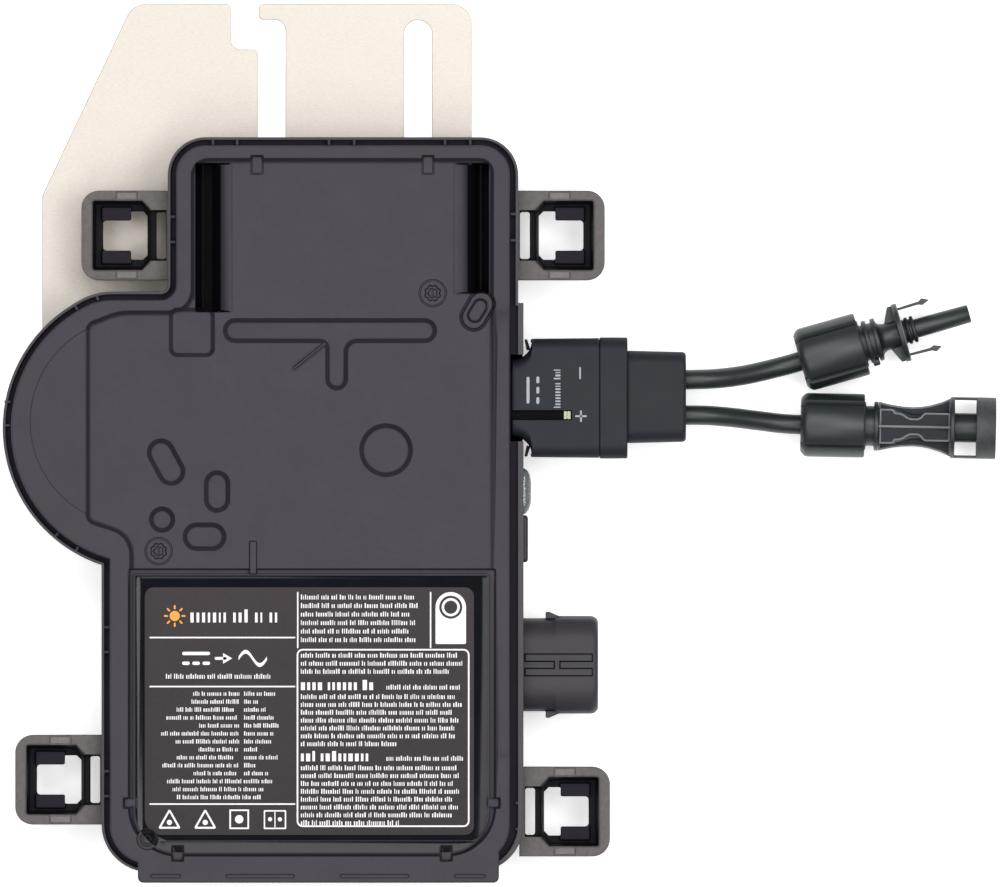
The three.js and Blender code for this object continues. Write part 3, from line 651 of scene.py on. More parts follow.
def cut(made, form):
    """Takes a form out of a piece."""
    cutter = linked("tool", mesh_of("tool", form))
    modifier = made.modifiers.new("cut", "BOOLEAN")
    modifier.operation = "DIFFERENCE"
    modifier.solver = "EXACT"
    modifier.object = cutter
    depsgraph = bpy.context.evaluated_depsgraph_get()
    result = bpy.data.meshes.new_from_object(made.evaluated_get(depsgraph))
    made.modifiers.remove(modifier)
    made.data = result
    bpy.data.objects.remove(cutter)
    made.data.set_sharp_from_angle(angle=radians(SHARP_ANGLE))


# -------- leads

LEAD_RADIUS = 2.8
BOOT_END = 97.5
CONNECTOR_Z = 16.5          # height of the plug's axis
CONNECTOR_LOW = 9.5         # height of the lead connectors' axes

# both leads fall alike from the boot: X and Z of each station, then Y for each lead
LEAD_FALL = [
    (94, 16.5), (95.8, 16.5), (BOOT_END, 16.5), (100.8, 16.35), (104, 16), (108, 14.9), (112, 13.4),
    (116, 11.95), (120, 10.7), (123.2, 9.95), (126.4, 9.6),
]
LEAD_BENDS = {
    "minus": (18, 18, 18, 18.1, 18.2, 18.5, 19, 19.7, 20.6, 21.4, 22.2),
    "plus": (7.9, 7.9, 7.9, 7.88, 7.8, 7.5, 7.1, 6.6, 6.1, 5.7, 5.4),
}
LEAD_ENDS = {
    "minus": [(130.2, 23.3), (133.5, 24.25), (136.9, 25.2), (140.2, 26.12), (143.4, 27.03)],
    "plus": [(130.3, 5.2), (133.8, 5.13), (137.3, 5.07), (140.8, 5), (144.3, 4.93)],
}
LEAD_ROUTES = {
    sign: [(x, y, z) for (x, z), y in zip(LEAD_FALL, bends)] + lifted(LEAD_ENDS[sign], CONNECTOR_LOW)
    for sign, bends in LEAD_BENDS.items()
}


def lead(sign):
    """Lead of one polarity, as a curve along its route."""
    route = LEAD_ROUTES[sign]
    data = bpy.data.curves.new(f"{sign}_lead", "CURVE")
    data.dimensions = "3D"
    data.bevel_depth = LEAD_RADIUS * MM
    data.bevel_resolution = 8
    data.use_fill_caps = True
    spline = data.splines.new("BEZIER")
    spline.bezier_points.add(len(route) - 1)
    spline.resolution_u = 8
    for point, place in zip(spline.bezier_points, route):
        point.co = [c * MM for c in place]
        point.handle_left_type = point.handle_right_type = "AUTO"
    data.materials.append(MATERIALS["cable_jacket"])
    made = linked(f"{sign}_lead", data)
    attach(made, "dc_plug")
    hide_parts(f"dc_lead_{sign}")
    return made


leads = {sign: lead(sign) for sign in LEAD_ROUTES}

# -------- body outline

TOP = 125.5
LIP = 29.5
SEAM = 27.0
RIM = 33.7
PANEL = 31.2
BACK = 3.5
COVER_FOOT = 26.9
LOW_RIM = 31.6
BULGE = (-56.3, 4.2, 41.2)
COVER_IN = 2.4


def body_outline(right):
    """Outline of the body, whose connector side stands further out below the step."""
    step = [(right, 39.9), (49.6, 39.9)] if right > 49.6 else []
    return outline([
        (-69.3, -122.5, 13.7), (right, -122.5, 13.7), *step,
        (49.6, 87.2, 10.8), (-50.4, 87.2, 10.8), (-50.4, 43.15, 2), (-71.3, 43.15, 19),
        *arc(*BULGE, 120, 180)[:-1], *arc(*BULGE, 180, 251.6),
    ])


WALL_LOOP = body_outline(51.1)
LIP_LOOP = body_outline(50.3)
COVER_LOOP = body_outline(49.6)

# -------- mounting bracket

SHEET = 1.5
SCREWS = [(-38, 62), (28, 62), (-66, 6), (24, 6)]


def bracket():
    """Flat plate with its bolt slot, its hook gap and the four screw holes."""
    boundary = outline([
        (-60.6, TOP, 5.7), (-86.5, 70.7, 2), (-86.5, -12, 8), (36.3, -12, 6), (36.3, TOP, 5.7),
        (-24.6, TOP, 1.5), (-24.6, TOP - 4.6, 1.5), (-16.9, TOP - 4.6, 2.9), (-16.9, 74, 3.5),
        (-24.9, 74, 3.5), (-24.9, 112.5, 1), (-32.6, 112.5, 3.1), (-32.6, TOP, 1.2),
    ])
    holes = [slot(21, TOP - 8.6, 21, 74, 4)] + [circle(x, y, 4.2) for x, y in SCREWS]
    return plate(boundary, 0, SHEET, 0.22, holes)


even_normals(piece("bracket_plate", bracket(), "steel", replaces=["mounting_bracket"]))


def screw():
    """Countersunk screw seen from its head, with a six-lobed recess; axis along X."""
    def recess(r, a):
        return r * (1 + 0.16 * cos(6 * a)) if r < 1.55 else r
    return lathe([
        (8.5, 0.2), (8.0, 1.2), (7.6, 1.7), (1.9, 1.75), (0.45, 3.6), (0.25, 3.85), (0.12, 3.7),
        (0.1, 1.7), (0.12, 1.5), (0.2, 1.4), (1.4, 1.25), (1.5, 0.1),
    ], 48, closed=False, lobes=recess)


for n, spot in enumerate(SCREWS, 1):
    piece(f"plate_screw_{n}", screw().at(*spot, 0, UPRIGHT), "screw_steel",
          replaces=[f"bracket_screw_{n}"])

# -------- rear housing

TICKS = [
    (-37.5, 87.2, 90), (-30.6, 87.2, 90), (-4.4, 87.2, 90), (2.8, 87.2, 90), (28.7, 87.2, 90),
    (35.9, 87.2, 90), (-50.4, 64.5, 180), (-50.4, 57.3, 180), (-97.5, 11.7, 180), (-97.5, 5.0, 180),
    (-69.3, -52.6, 180), (-69.3, -59.7, 180), (-69.3, -93.7, 180), (-69.3, -100.8, 180),
    (49.6, 65.3, 0), (49.6, 57.8, 0), (51.1, -102.8, 0), (51.1, -110.2, 0),
    (-77.2, 39.7, 120.3), (-71.0, 42.7, 110), (-83.0, -27.3, 229.5), (-77.0, -31.5, 240),
]


def tub():
    """Tray with a rounded foot, a thin lip, and the ledge that the cover stands on."""
    steps = [(2.0, BACK), (1.3, BACK + 0.15), (0.55, BACK + 0.7), (0.12, BACK + 1.6)]
    steps += [(0.0, BACK + 2.6), (0.0, 15.0), (0.0, LIP - 0.2), (0.06, LIP - 0.06), (0.2, LIP)]
    inner = [(0.62, LIP), (0.76, LIP - 0.06), (0.8, LIP - 0.2), (0.8, SEAM + 0.3), (0.9, SEAM)]
    inner += [(3.4, SEAM), (3.4, 6.6), (4.1, 5.9)]
    form = Form()
    rings = [form.ring(lifted(inset(WALL_LOOP, d), z)) for d, z in steps]
    rings += [form.ring(lifted(inset(LIP_LOOP, d), z)) for d, z in inner]
    lip, groove, well = 7, 11, 15
    form.chain(rings[:lip + 1])
    # kind 2 is a painted highlight on the lip's top, kind 1 painted shade on the ledge in the groove
    form.chain(rings[lip:groove + 1], kind=2)
    form.chain(rings[groove:well + 1], kind=1)
    form.chain(rings[well:])
    form.face(list(reversed(rings[-1])))
    form.face(rings[0])
    return form


def tick(x, y, angle):
    """Small rib across the groove between lip and cover."""
    form = block(-2.25, -0.4, SEAM - 0.5, -0.5, 0.4, LIP - 0.35, 0.12)
    return form.at(x, y, 0, about_z(angle))


def screw_boss(x, y):
    """Round boss behind a bracket screw."""
    profile = [(1.8, 3.9), (1.9, 4.5), (2.2, 4.6), (4.6, 4.6), (4.6, 2.0), (1.8, 2.0)]
    return lathe(profile, 40).at(x, y, 0, UPRIGHT)


def foot(x, y):
    """Round foot under the lower end, where there is no bracket."""
    profile = [(0.0, 5.5), (0.15, 5.85), (0.6, 6.0), (BACK + 0.6, 6.0), (BACK + 0.6, 0.1), (0.0, 0.1)]
    return lathe(profile, 48).at(x, y, 0, UPRIGHT)


PLUG_Y = 12.8
AC_Y, AC_Z = -63.4, 15.6
LAMP_Y, LAMP_Z = -13.8, 17.5

shell = piece("housing_shell", tub(), replaces=["rear_housing"],
              looks=["housing_plastic", "groove", "lip_painted_highlight"])
cut(shell, box_form(47.4, PLUG_Y - 12.4, 4.9, 60, PLUG_Y + 12.4, LIP + 1))
for opening in [
    (PLUG_Y, CONNECTOR_Z, 21.6, 15.2, 3.4),
    (AC_Y, AC_Z, 27.4, 17.8, 6.4),
    (LAMP_Y, LAMP_Z, 13.8, 6.4, 3.1),
]:
    cut(shell, lofted([rounded_section(x, *opening) for x in (44, 60)]))
even_normals(shell)

ticks = Form()
for spot in TICKS:
    ticks.join(tick(*spot))
piece("housing_groove_ribs", ticks)

bosses = Form()
for spot in SCREWS:
    bosses.join(screw_boss(*spot))
for spot in [(-52, -104), (34, -104)]:
    bosses.join(foot(*spot))
piece("housing_bosses", bosses)

# -------- cable clip ears

EAR_LOW, EAR_HIGH, EAR_LEDGE = 9.5, 22.5, 15.0
EARS = {
    "upper_left": (-1, -50.4, 59.2),
    "upper_right": (1, 49.6, 59.2),
    "lower_left": (-1, -69.3, -96.2),
    "lower_right": (1, 51.1, -105.3),
}


def ear():
    """Ear drawn for the right side, its root at x = 0."""
    boundary = outline([(-1.2, -12.8), (24.7, -12.8, 5), (24.7, 12.8, 5), (-1.2, 12.8)])
    wall_slot = rectangle(0.5, -6.7, 3.3, 6.7, 0.7)
    window = outline([
        (5.9, -5.6), (7.2, -6.9), (10.6, -6.9, 0.4), (10.6, -4.3, 0.5), (18.6, -4.3, 1),
        (18.6, 4.3, 1), (10.6, 4.3, 0.5), (10.6, 6.9, 0.4), (7.2, 6.9), (5.9, 5.6),
    ])
    recess = outline([
        (5.2, -7.4), (7.4, -9.8), (21.4, -9.8, 0.6), (21.4, 9.8, 0.6), (7.4, 9.8), (5.2, 7.4),
    ])
    web = outline([(0.4, -7.2), (5.4, -7.2), (5.4, 7.2), (0.4, 7.2)])
    features = [
        step(recess, EAR_LEDGE, 7.5, 0.8, 0.7, 0.5),
        step(web, EAR_HIGH - 3.0, 3.0, 0.2, 0.3, 0.3),
    ]
    for side in (-1, 1):
        low, high = sorted((side * 4.0, side * 8.2))
        ledge = rectangle(10.3, low, 19.0, high, 0.4)
        pad = rectangle(9.0, side * 11.3 - 0.95, 14.6, side * 11.3 + 0.95, 0.25)
        features += [
            step(ledge, EAR_LEDGE + 2.5, 2.5, 0.3, 0.2, 0.2),
            step(inset(pad, -0.35), EAR_HIGH - 0.25, 0.25, 0.05, 0.05, 0.15),
            step(pad, EAR_HIGH, 0.5, 0.1, 0.05, 0.2),
        ]
    return relief_solid(boundary, features, EAR_HIGH, EAR_LOW, [wall_slot, window], 0.35)


for spot, (side, wall, y) in EARS.items():
    form = ear().at(wall, y, 0, Matrix.Diagonal((side, 1, 1, 1)))
    clip = piece(f"clip_ear_{spot}", form, looks=["ear_plastic_painted_highlight"])
    # painted shade in the recess, a lighter painted shade on its step ledges, painted highlight on the
    # pad tops
    painted = [
        ("shade", -1.5, 21.7, 0, 10.1, EAR_LOW + 0.1, EAR_HIGH - 0.55),
        ("groove", 10.2, 19.1, 0, 8.3, EAR_LEDGE + 2.2, EAR_LEDGE + 2.8),
        ("ear_pad_painted_highlight", 8.9, 14.7, -11.3, 1.05, EAR_HIGH - 0.2, EAR_HIGH + 0.1),
        ("ear_pad_painted_highlight", 8.9, 14.7, 11.3, 1.05, EAR_HIGH - 0.2, EAR_HIGH + 0.1),
    ]
    for look, start, end, middle, reach, low, high in painted:
        near, far = sorted((wall + side * start, wall + side * end))
        paint(clip, look, (near, y + middle - reach, low), (far, y + middle + reach, high))
    even_normals(clip)

# -------- front cover

FLANGE = (-58.9, 44.1)


def cover_edge():
    """Outer edge of the rim, with the straight flange that closes the lower end."""
    body = inset(COVER_LOOP, COVER_IN)
    left, right = FLANGE
    corner_y, corner_r = -108.8, 13.7 - COVER_IN
    left_y = corner_y - sqrt(corner_r ** 2 - (left + 55.6) ** 2)
    right_y = corner_y - sqrt(corner_r ** 2 - (right - 35.9) ** 2)
    flange = outline([(left, left_y), (left, -TOP, 1.6), (right, -TOP, 1.6), (right, right_y)])
    start = next(i for i, p in enumerate(body) if p[0] > left - 0.05)
    low_left = body[:start]
    rest = [p for p in body[start:] if p[1] > -115.0 or p[0] > right + 0.05]
    return low_left + flange + rest


DIP_PLACES = [-91.1, -89.5, -87.4, -84.5, -77.7, 28, 32, 35, 37.4, 39.4]
DIP_LEVELS = [RIM, 33.0, 32.3, 31.85, LOW_RIM, LOW_RIM, 31.8, 32.3, 33.0, RIM]


def rim_height(xy):
    """Top of the rim, which dips along the connector side."""
    return np.where(xy[:, 0] > 30, np.interp(xy[:, 1], DIP_PLACES, DIP_LEVELS), RIM)


PANEL_LOOP = outline([
    (-60.3, -40), (41.6, -40), (41.6, 80.2, 3), (-42.8, 80.2, 4), (-42.8, 36.7, 7), (-64, 36.7, 14),
    (-72.8, 33.4, 2.2), (-72.8, -22, 2.2), (-60.3, -26, 8),
])
FIELD_LOOP = outline([
    (-61.6, -117.9, 14), (43.2, -117.9, 14), (43.2, -35.9, 0.6), (-61.6, -35.9, 0.6),
])
RIDGE_LOOP = outline([
    (-60.3, -117.5, 12.6), (41.5, -117.5, 12.6), (41.5, -37.3, 0.8), (-60.3, -37.3, 0.8),
])
BED_LOOP = inset(RIDGE_LOOP, 0.42)
LABEL_BED = 30.2


def bed_height(z, xy):
    """Bed of the label: flat, rising to the ridge on three sides."""
    right = np.interp(xy[:, 0], [38.6, 41.0], [0, 0.7])
    left = np.interp(xy[:, 0], [-59.8, -58.9, -57.6], [0.55, 0.2, 0])
    lower = np.interp(xy[:, 1], [-117.0, -113.7, -113.4], [1.25, 0.25, 0])
    return LABEL_BED + np.maximum(np.maximum(right, left), lower)


TRENCH_FLOOR = 22.6
TRENCHES = [((-42.5, 37.2, -32.0, 79.9), -37.7, -32.4), ((31.2, 42.4, 41.2, 79.9), 38.1, 31.6)]
SLOPE_STEPS = (0.0, 0.05, 0.14, 0.28, 0.46, 0.7, 1.0)


def trench_height(floor_x, edge_x):
    """Level across a trench: a flat floor and a slope that flattens as it meets the panel."""
    def level(z, xy):
        share = np.clip((xy[:, 0] - floor_x) / (edge_x - floor_x), 0, 1)
        return TRENCH_FLOOR + (PANEL - 0.35 - TRENCH_FLOOR) * (1 - (1 - share) ** 3)
    return level


CRESCENT_LOOP = arc(-60.0, 6.05, 29.7, 117.0, 243.0)
CHANNEL_LOOP = outline([
    (-34.6, 28.5, 3.45), (-5.4, 28.5, 1.6), (-5.4, 15.0, 3.15), (1.0, 15.0, 3.15), (1.0, 28.5, 2.6),
    (26.4, 28.5, 3.45), (26.4, 35.5, 3.45), (-34.6, 35.5, 3.45),
])
POCKETS = [
    (CHANNEL_LOOP, 2.0),
    (slot(-14.3, 21.3, -5.4, 28.4, 0.95), 0.8),
    (rectangle(-50, 24.5, -37, 38.5, 2.4), 1.7),
    (circle(11.9, -2.1, 7.6), 2.1),
    (slot(-52.3, -2.8, -49.4, -8.2, 4), 2.1),
    (slot(-36.3, -11.6, -36.3, -16.2, 3.7), 2.1),
    (circle(-52, -21.9, 3.7), 2.1),
    (slot(-42.1, -26.8, -37.7, -26.8, 4), 2.1),
]
EDGE_SLOTS = [(-51, 8.8), (-24, 19.7), (8.6, 19.7), (35.8, 9.1)]
BRIDGES = [
    (-26.3, 76.9, -23.5, 81.6), (22.5, 76.9, 25.2, 81.6), (-48.9, -119.0, -46.2, -115.2),
    (27.7, -119.0, 30.4, -115.2), (-62.7, -103.9, -59.6, -101.6), (41.0, -103.9, 44.1, -101.6),
]


def scalloped(x, y, r, depth, count):
    """Round outline with shallow scallops, as on a dated mould insert."""
    points = []
    for i in range(count * 6):
        a = 2 * pi * i / (count * 6)
        reach = r - depth * (1 + cos(count * a)) / 2
        points.append((x + reach * cos(a), y + reach * sin(a)))
    return points


def lowered(depth, level=None):
    """Target that lies a depth below the surface, or at most at a level."""
    if level is None:
        return lambda z, xy: z - depth
    return lambda z, xy: np.minimum(z, level - depth)


MOULD_DATES = [(-53, -30.9), (25.2, 42.7)]
RIDGE_KNOB = (-56.2, -113.1)


def cover_features():
    """Everything raised or sunk in the cover's face, in the order in which it is worked."""
    features = [
        step(CRESCENT_LOOP, lowered(0.35), 0.35, 0.08, 0.05, 0.3),
        step(PANEL_LOOP, PANEL, RIM - PANEL, 0.3, 0.55, 1.2, start=-0.9),
    ]
    for box, *ends in TRENCHES:
        features.append(step(rectangle(*box, 0.6), trench_height(*ends), 8, 0.25, 0.1, 0.3))
    for loop, depth in POCKETS:
        features.append(step(loop, lowered(depth, PANEL), depth, 0.15, 0.45 * depth, 0.65))
    features += [
        step(FIELD_LOOP, 29.8, 3.0, 0.3, 0.3, 0.5),
        step(RIDGE_LOOP, 30.95, 0.9, 0.1, 0.04, 0.12),
        step(BED_LOOP, bed_height, 0.7, 0.08, 0.04, 0.2),
        step(rectangle(-40.7, 38.6, -40.1, 79.3, 0.1), 28.6, 6, 0.06, 0.04, 0.08),
        step(rectangle(38.7, 43.6, 39.2, 79.3, 0.1), 28.6, 6, 0.06, 0.04, 0.08),
        step(rectangle(-27.2, -37.6, -24.9, -28, 0.3), PANEL + 0.7, 0.9, 0.12, 0.2, 0.25),
        step(slot(36.9, 35.8, 39.1, 39.6, 4.1), PANEL - 0.5, 0.9, 0.1, 0.3, 0.3),
        step(slot(36.9, 35.8, 39.1, 39.6, 3.5), PANEL + 1.0, 1.4, 0.2, 0.35, 0.2),
        step(slot(37.2, 36.4, 38.8, 39, 2.2), PANEL - 0.7, 1.6, 0.2, 0.45, 0.4),
        step(circle(*RIDGE_KNOB, 3.0), LABEL_BED + 1.2, 0.8, 0.2, 0.04, 0.1),
        step(circle(*RIDGE_KNOB, 2.15), LABEL_BED + 0.3, 0.8, 0.1, 0.04, 0.2),
        step(circle(*RIDGE_KNOB, 1.7), LABEL_BED + 0.85, 0.5, 0.3, 0.3, 0.6),
    ]
    for x, y in MOULD_DATES:
        pointer = rectangle(x - 0.25, y - 0.9, x + 0.25, y + 0.9, 0.15)
        features += [
            step(circle(x, y, 4.05), PANEL - 0.35, 0.4, 0.05, 0.15, 0.1),
            step(circle(x, y, 3.6), PANEL, 0.4, 0.05, 0.15, 0.08),
            step(scalloped(x, y, 2.5, 0.4, 8), PANEL - 0.8, 0.9, 0.1, 0.25, 0.15),
            step(scalloped(x, y, 1.5, 0.25, 5), PANEL - 0.2, 0.7, 0.1, 0.2, 0.1),
            step(pointer, PANEL - 0.6, 0.4, 0.06, 0.06, 0.08),
        ]
    for x0, y0, x1, y1 in BRIDGES:
        notch = rectangle(x0 - 0.45, y0 - 0.45, x1 + 0.45, y1 + 0.45, 0.3)
        features += [
            step(notch, lowered(0, 30.6), 1.5, 0.12, 0.04, 0.15),
            step(rectangle(x0, y0, x1, y1, 0.25), 31.5, 0.8, 0.15, 0.04, 0.1),
        ]
    for x, length in EDGE_SLOTS:
        loop = slot(x - length / 2 + 0.6, -123.6, x + length / 2 - 0.6, -123.6, 0.6)
        features.append(step(loop, RIM - 0.8, 0.8, 0.08, 0.03, 0.2))
    return features


def trench_well(form, box, floor_x, edge_x):
    """Pocket under the cover that holds a trench; returns the ring where it starts."""
    x0, y0, x1, y1 = box
    side = 1 if edge_x > floor_x else -1
    far_x = x0 if side > 0 else x1
    rings = []
    for z, reach in ((COVER_FOOT, 1.8), (TRENCH_FLOOR - 1.5, 1.2)):
        a, b = sorted((far_x - side * reach, floor_x + side * reach))
        rings.append(form.ring(lifted(rectangle(a, y0 - reach, b, y1 + reach, 0.8), z)))
    form.bridge(*rings)
    form.face(rings[1])
    return rings[0]


def cover():
    """The whole cover: worked face, rim wall and the two wells under it."""
    lines = [[(43.7, y), (60, y)] for y in DIP_PLACES]
    lines += [[(x, low), (x, -38.2)] for x, low in ((38.6, -113.0), (-57.6, -112), (-58.9, -110))]
    lines += [[(left, y), (right, y)] for left, right, y in ((-50, 36, -113.4), (-52, 37, -113.7))]
    kinds = [(inset(BED_LOOP, 0.25), 1)]
    for (x0, y0, x1, y1), floor_x, edge_x in TRENCHES:
        for share in SLOPE_STEPS:
            x = floor_x + share * (edge_x - floor_x)
            lines.append([(x, y0 + 0.6), (x, y1 - 0.6)])
        # the deep half of each trench takes painted shade
        far_x = x0 if edge_x > floor_x else x1
        middle = (floor_x + edge_x) / 2
        kinds.append((rectangle(min(far_x, middle), y0 + 0.2, max(far_x, middle), y1 - 0.2), 2))
    form = Form()
    (ring,) = relief(form, cover_edge(), cover_features(), rim_height, 0.55, lines=lines, kinds=kinds)
    foot_ring = wall_down(form, ring, COVER_FOOT, 0.3)
    form.fill([foot_ring] + [trench_well(form, *one) for one in TRENCHES])
    return form


even_normals(piece("cover_face", cover(), "cover_plastic", replaces=["front_cover"],
                   looks=["cover_plastic", "bed_gloss", "recess_painted_shade"]))

# -------- rating label

LABEL_TOP = 30.62
LABEL_LOOP = outline([(-57, -111.9, 5), (37, -111.9, 2.6), (37, -41.2, 2.6), (-57, -41.2, 2.6)])
piece("label_film", plate(LABEL_LOOP, LABEL_BED + 0.04, LABEL_TOP, 0.08), "label",
      replaces=["rating_label"])

INK_TOP = LABEL_TOP + 0.035
SEED = 7
random.seed(SEED)


def mark(form, loop, hole=None, low=LABEL_TOP - 0.03, high=INK_TOP):
    """Thin printed shape, with an optional hole."""
    feet, tops = [], []
    for path in [loop, hole] if hole else [loop]:
        feet.append(form.ring(lifted(path, low)))
        tops.append(form.ring(lifted(path, high)))
        form.bridge(feet[-1], tops[-1])
    form.fill(tops)
    form.fill(feet)


def line(form, x0, y0, x1, y1, width):
    """Printed stroke with round ends."""
    mark(form, slot(x0, y0, x1, y1, width / 2))


def words(form, x0, x1, y, height, weight=0.8):
    """Row of short upright strokes, grouped like words, that stands for a line of small print."""
    x = x0
    low = y - height / 2
    while x < x1 - height:
        for _ in range(random.randint(2, 9)):
            width = height * weight * random.uniform(0.18, 0.36)
            if x + width > x1:
                return
            mark(form, rectangle(x, low, x + width, low + height * random.choice((0.76, 0.76, 1.0))))
            x += width + height * 0.22
        x += height * 0.35


def label_icons(form, y):
    """Row of four plain framed shapes."""
    for x in (-49.9, -39.7):
        outer = outline([(x - 3.3, y - 2.7, 0.4), (x + 3.3, y - 2.7, 0.4), (x, y + 3.1, 0.4)])
        inner = outline([(x - 2.35, y - 2.15, 0.2), (x + 2.35, y - 2.15, 0.2), (x, y + 2.05, 0.2)])
        mark(form, outer, inner)
        mark(form, circle(x, y - 0.9, 0.75))
    inner = rectangle(-32.35, y - 2.35, -27.65, y + 2.35, 0.1)
    mark(form, rectangle(-32.8, y - 2.8, -27.2, y + 2.8, 0.1), inner)
    mark(form, circle(-30.0, y, 1.2))
    inner = rectangle(-22.6, y - 2.4, -17.0, y + 2.2, 0.2)
    mark(form, rectangle(-23.0, y - 2.8, -16.6, y + 2.6, 0.3), inner)
    line(form, -19.8, y - 2.4, -19.8, y + 2.2, 0.3)
    for x in (-21.2, -18.4):
        mark(form, circle(x, y, 0.6))


def current_symbols(form, y):
    """Direct current in, alternating current out: solid and dashed lines, arrow, wave."""
    line(form, -45.8, y + 1.4, -38.8, y + 1.4, 0.95)
    for x in (-45.8, -42.9, -40.0):
        line(form, x, y - 1.4, x + 1.2, y - 1.4, 0.95)
    line(form, -36.6, y, -34.0, y, 0.8)
    mark(form, [(-34.6, y - 1.5), (-32.0, y), (-34.6, y + 1.5)])
    wave = [(-30.2 + 0.27 * i, y + 1.9 * sin(2 * pi * i / 30)) for i in range(31)]
    mark(form, [(x, h - 0.55) for x, h in wave] + [(x, h + 0.55) for x, h in reversed(wave)])


SMALL, MEDIUM, LARGE = 1.25, 1.4, 2.9       # heights of the printed rows
ROW = 2.27                  # from one row of small print to the next


def white_print():
    """Rows of strokes, rules, frames and plain shapes on the label."""
    form = Form()
    for y in (-55.56, -69.54, -103.06):
        line(form, -55.4, y, -14.2, y, 0.42)
    words(form, -43.9, -17.6, -49.4, 3.7, 0.7)
    current_symbols(form, -61.5)
    words(form, -50.9, -19.2, -66.6, MEDIUM)
    for i in range(11):
        y = -71.55 - ROW * i
        words(form, random.uniform(-52.6, -41.2), -29.9, y, SMALL)
        words(form, -28.6, random.uniform(-26.0, -17.5), y, SMALL)
    for i in range(11, 14):
        margin = random.uniform(0.0, 5.0)
        words(form, -52.6 + margin, -18.6 - margin, -71.55 - ROW * i, SMALL)
    label_icons(form, -107.4)
    for i in range(6):
        words(form, -12.4, random.uniform(17.6, 21.9), -44.0 - 2.43 * i, MEDIUM)
    for x in (-13.3, 24.6):
        line(form, x, -42.7, x, -58.4, 0.4)
    badge = outline([
        (26.0, -57.4, 0.4), (34.7, -57.4, 0.4), (34.7, -42.6, 4.3), (26.0, -42.6, 4.3),
    ])
    mark(form, badge, circle(30.35, -46.9, 3.3))
    mark(form, circle(30.35, -46.9, 2.6), circle(30.35, -46.9, 1.9))
    frame_loop = rectangle(-13.6, -109.6, 35.7, -58.8, 1.7)
    mark(form, frame_loop, inset(frame_loop, 0.45))
    for i in range(3):
        words(form, -12.4, 33.9 - 3.5 * (i == 2), -60.6 - 2.3 * i, MEDIUM)
    for y, rows in ((-69.4, 7), (-89.7, 8)):
        words(form, -12.4, 9.5, y + 0.3, LARGE, 1.2)
        words(form, 12.0, 34.2, y - 0.3, MEDIUM)
        for i in range(rows):
            end = 34.3 - random.uniform(0.0, 3.0) - 16.0 * (i == rows - 1)
            words(form, -12.4, end, y - 3.0 - 2.24 * i, MEDIUM)
    return form


def orange_print():
    """Plain sun: a disc and eight short rays."""
    form = Form()
    x, y = -48.4, -49.4
    mark(form, circle(x, y, 1.45))
    for i in range(8):
        a = pi * i / 4
        c, s = cos(a), sin(a)
        line(form, x + 2.15 * c, y + 2.15 * s, x + 2.85 * c, y + 2.85 * s, 0.5)
    return form


piece("label_print_white", white_print(), "label", looks=["ink"])
piece("label_print_orange", orange_print(), "label", looks=["ink_orange"])

# -------- outlet connector

OUTLET_WIDTH, OUTLET_HEIGHT = 28.1, 18.5
AC_TOP = AC_Z + OUTLET_HEIGHT / 2


def outlet_section(x, side, top):
    """Section at x, flat above and below with soft sides, drawn in by side and top."""
    w, h = OUTLET_WIDTH / 2, OUTLET_HEIGHT / 2
    loop = outline([
        (w - 5.2, -h, 8), (w - 1.0, -h + 3.3, 5), (w, 0, 6), (w - 1.0, h - 3.3, 5), (w - 5.2, h, 8),
        (5.2 - w, h, 8), (1.0 - w, h - 3.3, 5), (-w, 0, 6), (1.0 - w, 3.3 - h, 5), (5.2 - w, -h, 8),
    ])
    return [(x, AC_Y + y * (1 - side / w), AC_Z + z * (1 - top / h)) for y, z in loop]


def outlet():
    """Body and collar of the outlet as one skin."""
    places = [(44.6, 0.65, 0.0), (59.2, 0.65, 0.0), (59.6, 0.55, 0.0), (60.2, 0.1, 0.0)]
    places += [(60.6, 0.0, 0.0)]
    for a in range(0, 91, 15):
        turn = radians(a)
        lag = 1 - cos(turn)
        places.append((70.2 + 2.2 * sin(turn), 1.8 * lag, 1.2 * lag))
    return lofted([outlet_section(*place) for place in places])


outlet_piece = piece("outlet_shell", outlet(), replaces=["ac_connector_shell"])
cut(outlet_piece, lofted([rounded_section(x, AC_Y, AC_Z, 21, 11.8, 5.0) for x in (58.5, 80)]))
even_normals(outlet_piece)

# rail_shade: near-black sheets just wider than the rails, painted shade along their feet
rails, rail_shade = Form(), Form()
for x0, y0, x1, y1 in [
    (51.6, -62.3, 70.6, -60.4), (51.6, -66.4, 70.6, -64.5), (60.0, -64.8, 61.4, -62.0),
]:
    rails.join(block(x0, y0, AC_TOP - 1, x1, y1, AC_TOP + 0.8, 0.2))
    rail_shade.join(block(x0 - 0.3, y0 - 0.3, AC_TOP - 1, x1 + 0.3, y1 + 0.3, AC_TOP + 0.06, 0.03))
piece("outlet_rails", rails)
piece("outlet_rail_painted_shade", rail_shade, looks=["recess_painted_shade"])

for word, side in SIDES.items():
    wall = AC_Y + side * 13.2
    crest = wall + side * 1.95
    ramp = outline([
        (57.4, wall), (61.8, wall), (61.8, wall + side * 0.5), (58.4, crest, 0.5), (57.4, crest, 0.4),
    ])
    piece(f"outlet_catch_{word}", plate(facing(ramp, side), AC_Z - 3, AC_Z + 3, 0.2))

for n, y in enumerate((AC_Y - 6.4, AC_Y, AC_Y + 6.4), 1):
    profile = [(52.0, 1.4), (52.2, 1.6), (65.8, 1.6), (66.5, 1.35), (66.9, 0.9), (67.0, 0.3)]
    pin = lathe(profile, 32, closed=False).at(0, y, AC_Z)
    piece(f"outlet_pin_{n}", pin, "brass", replaces=[f"ac_pin_{n}"])

# -------- status lamp

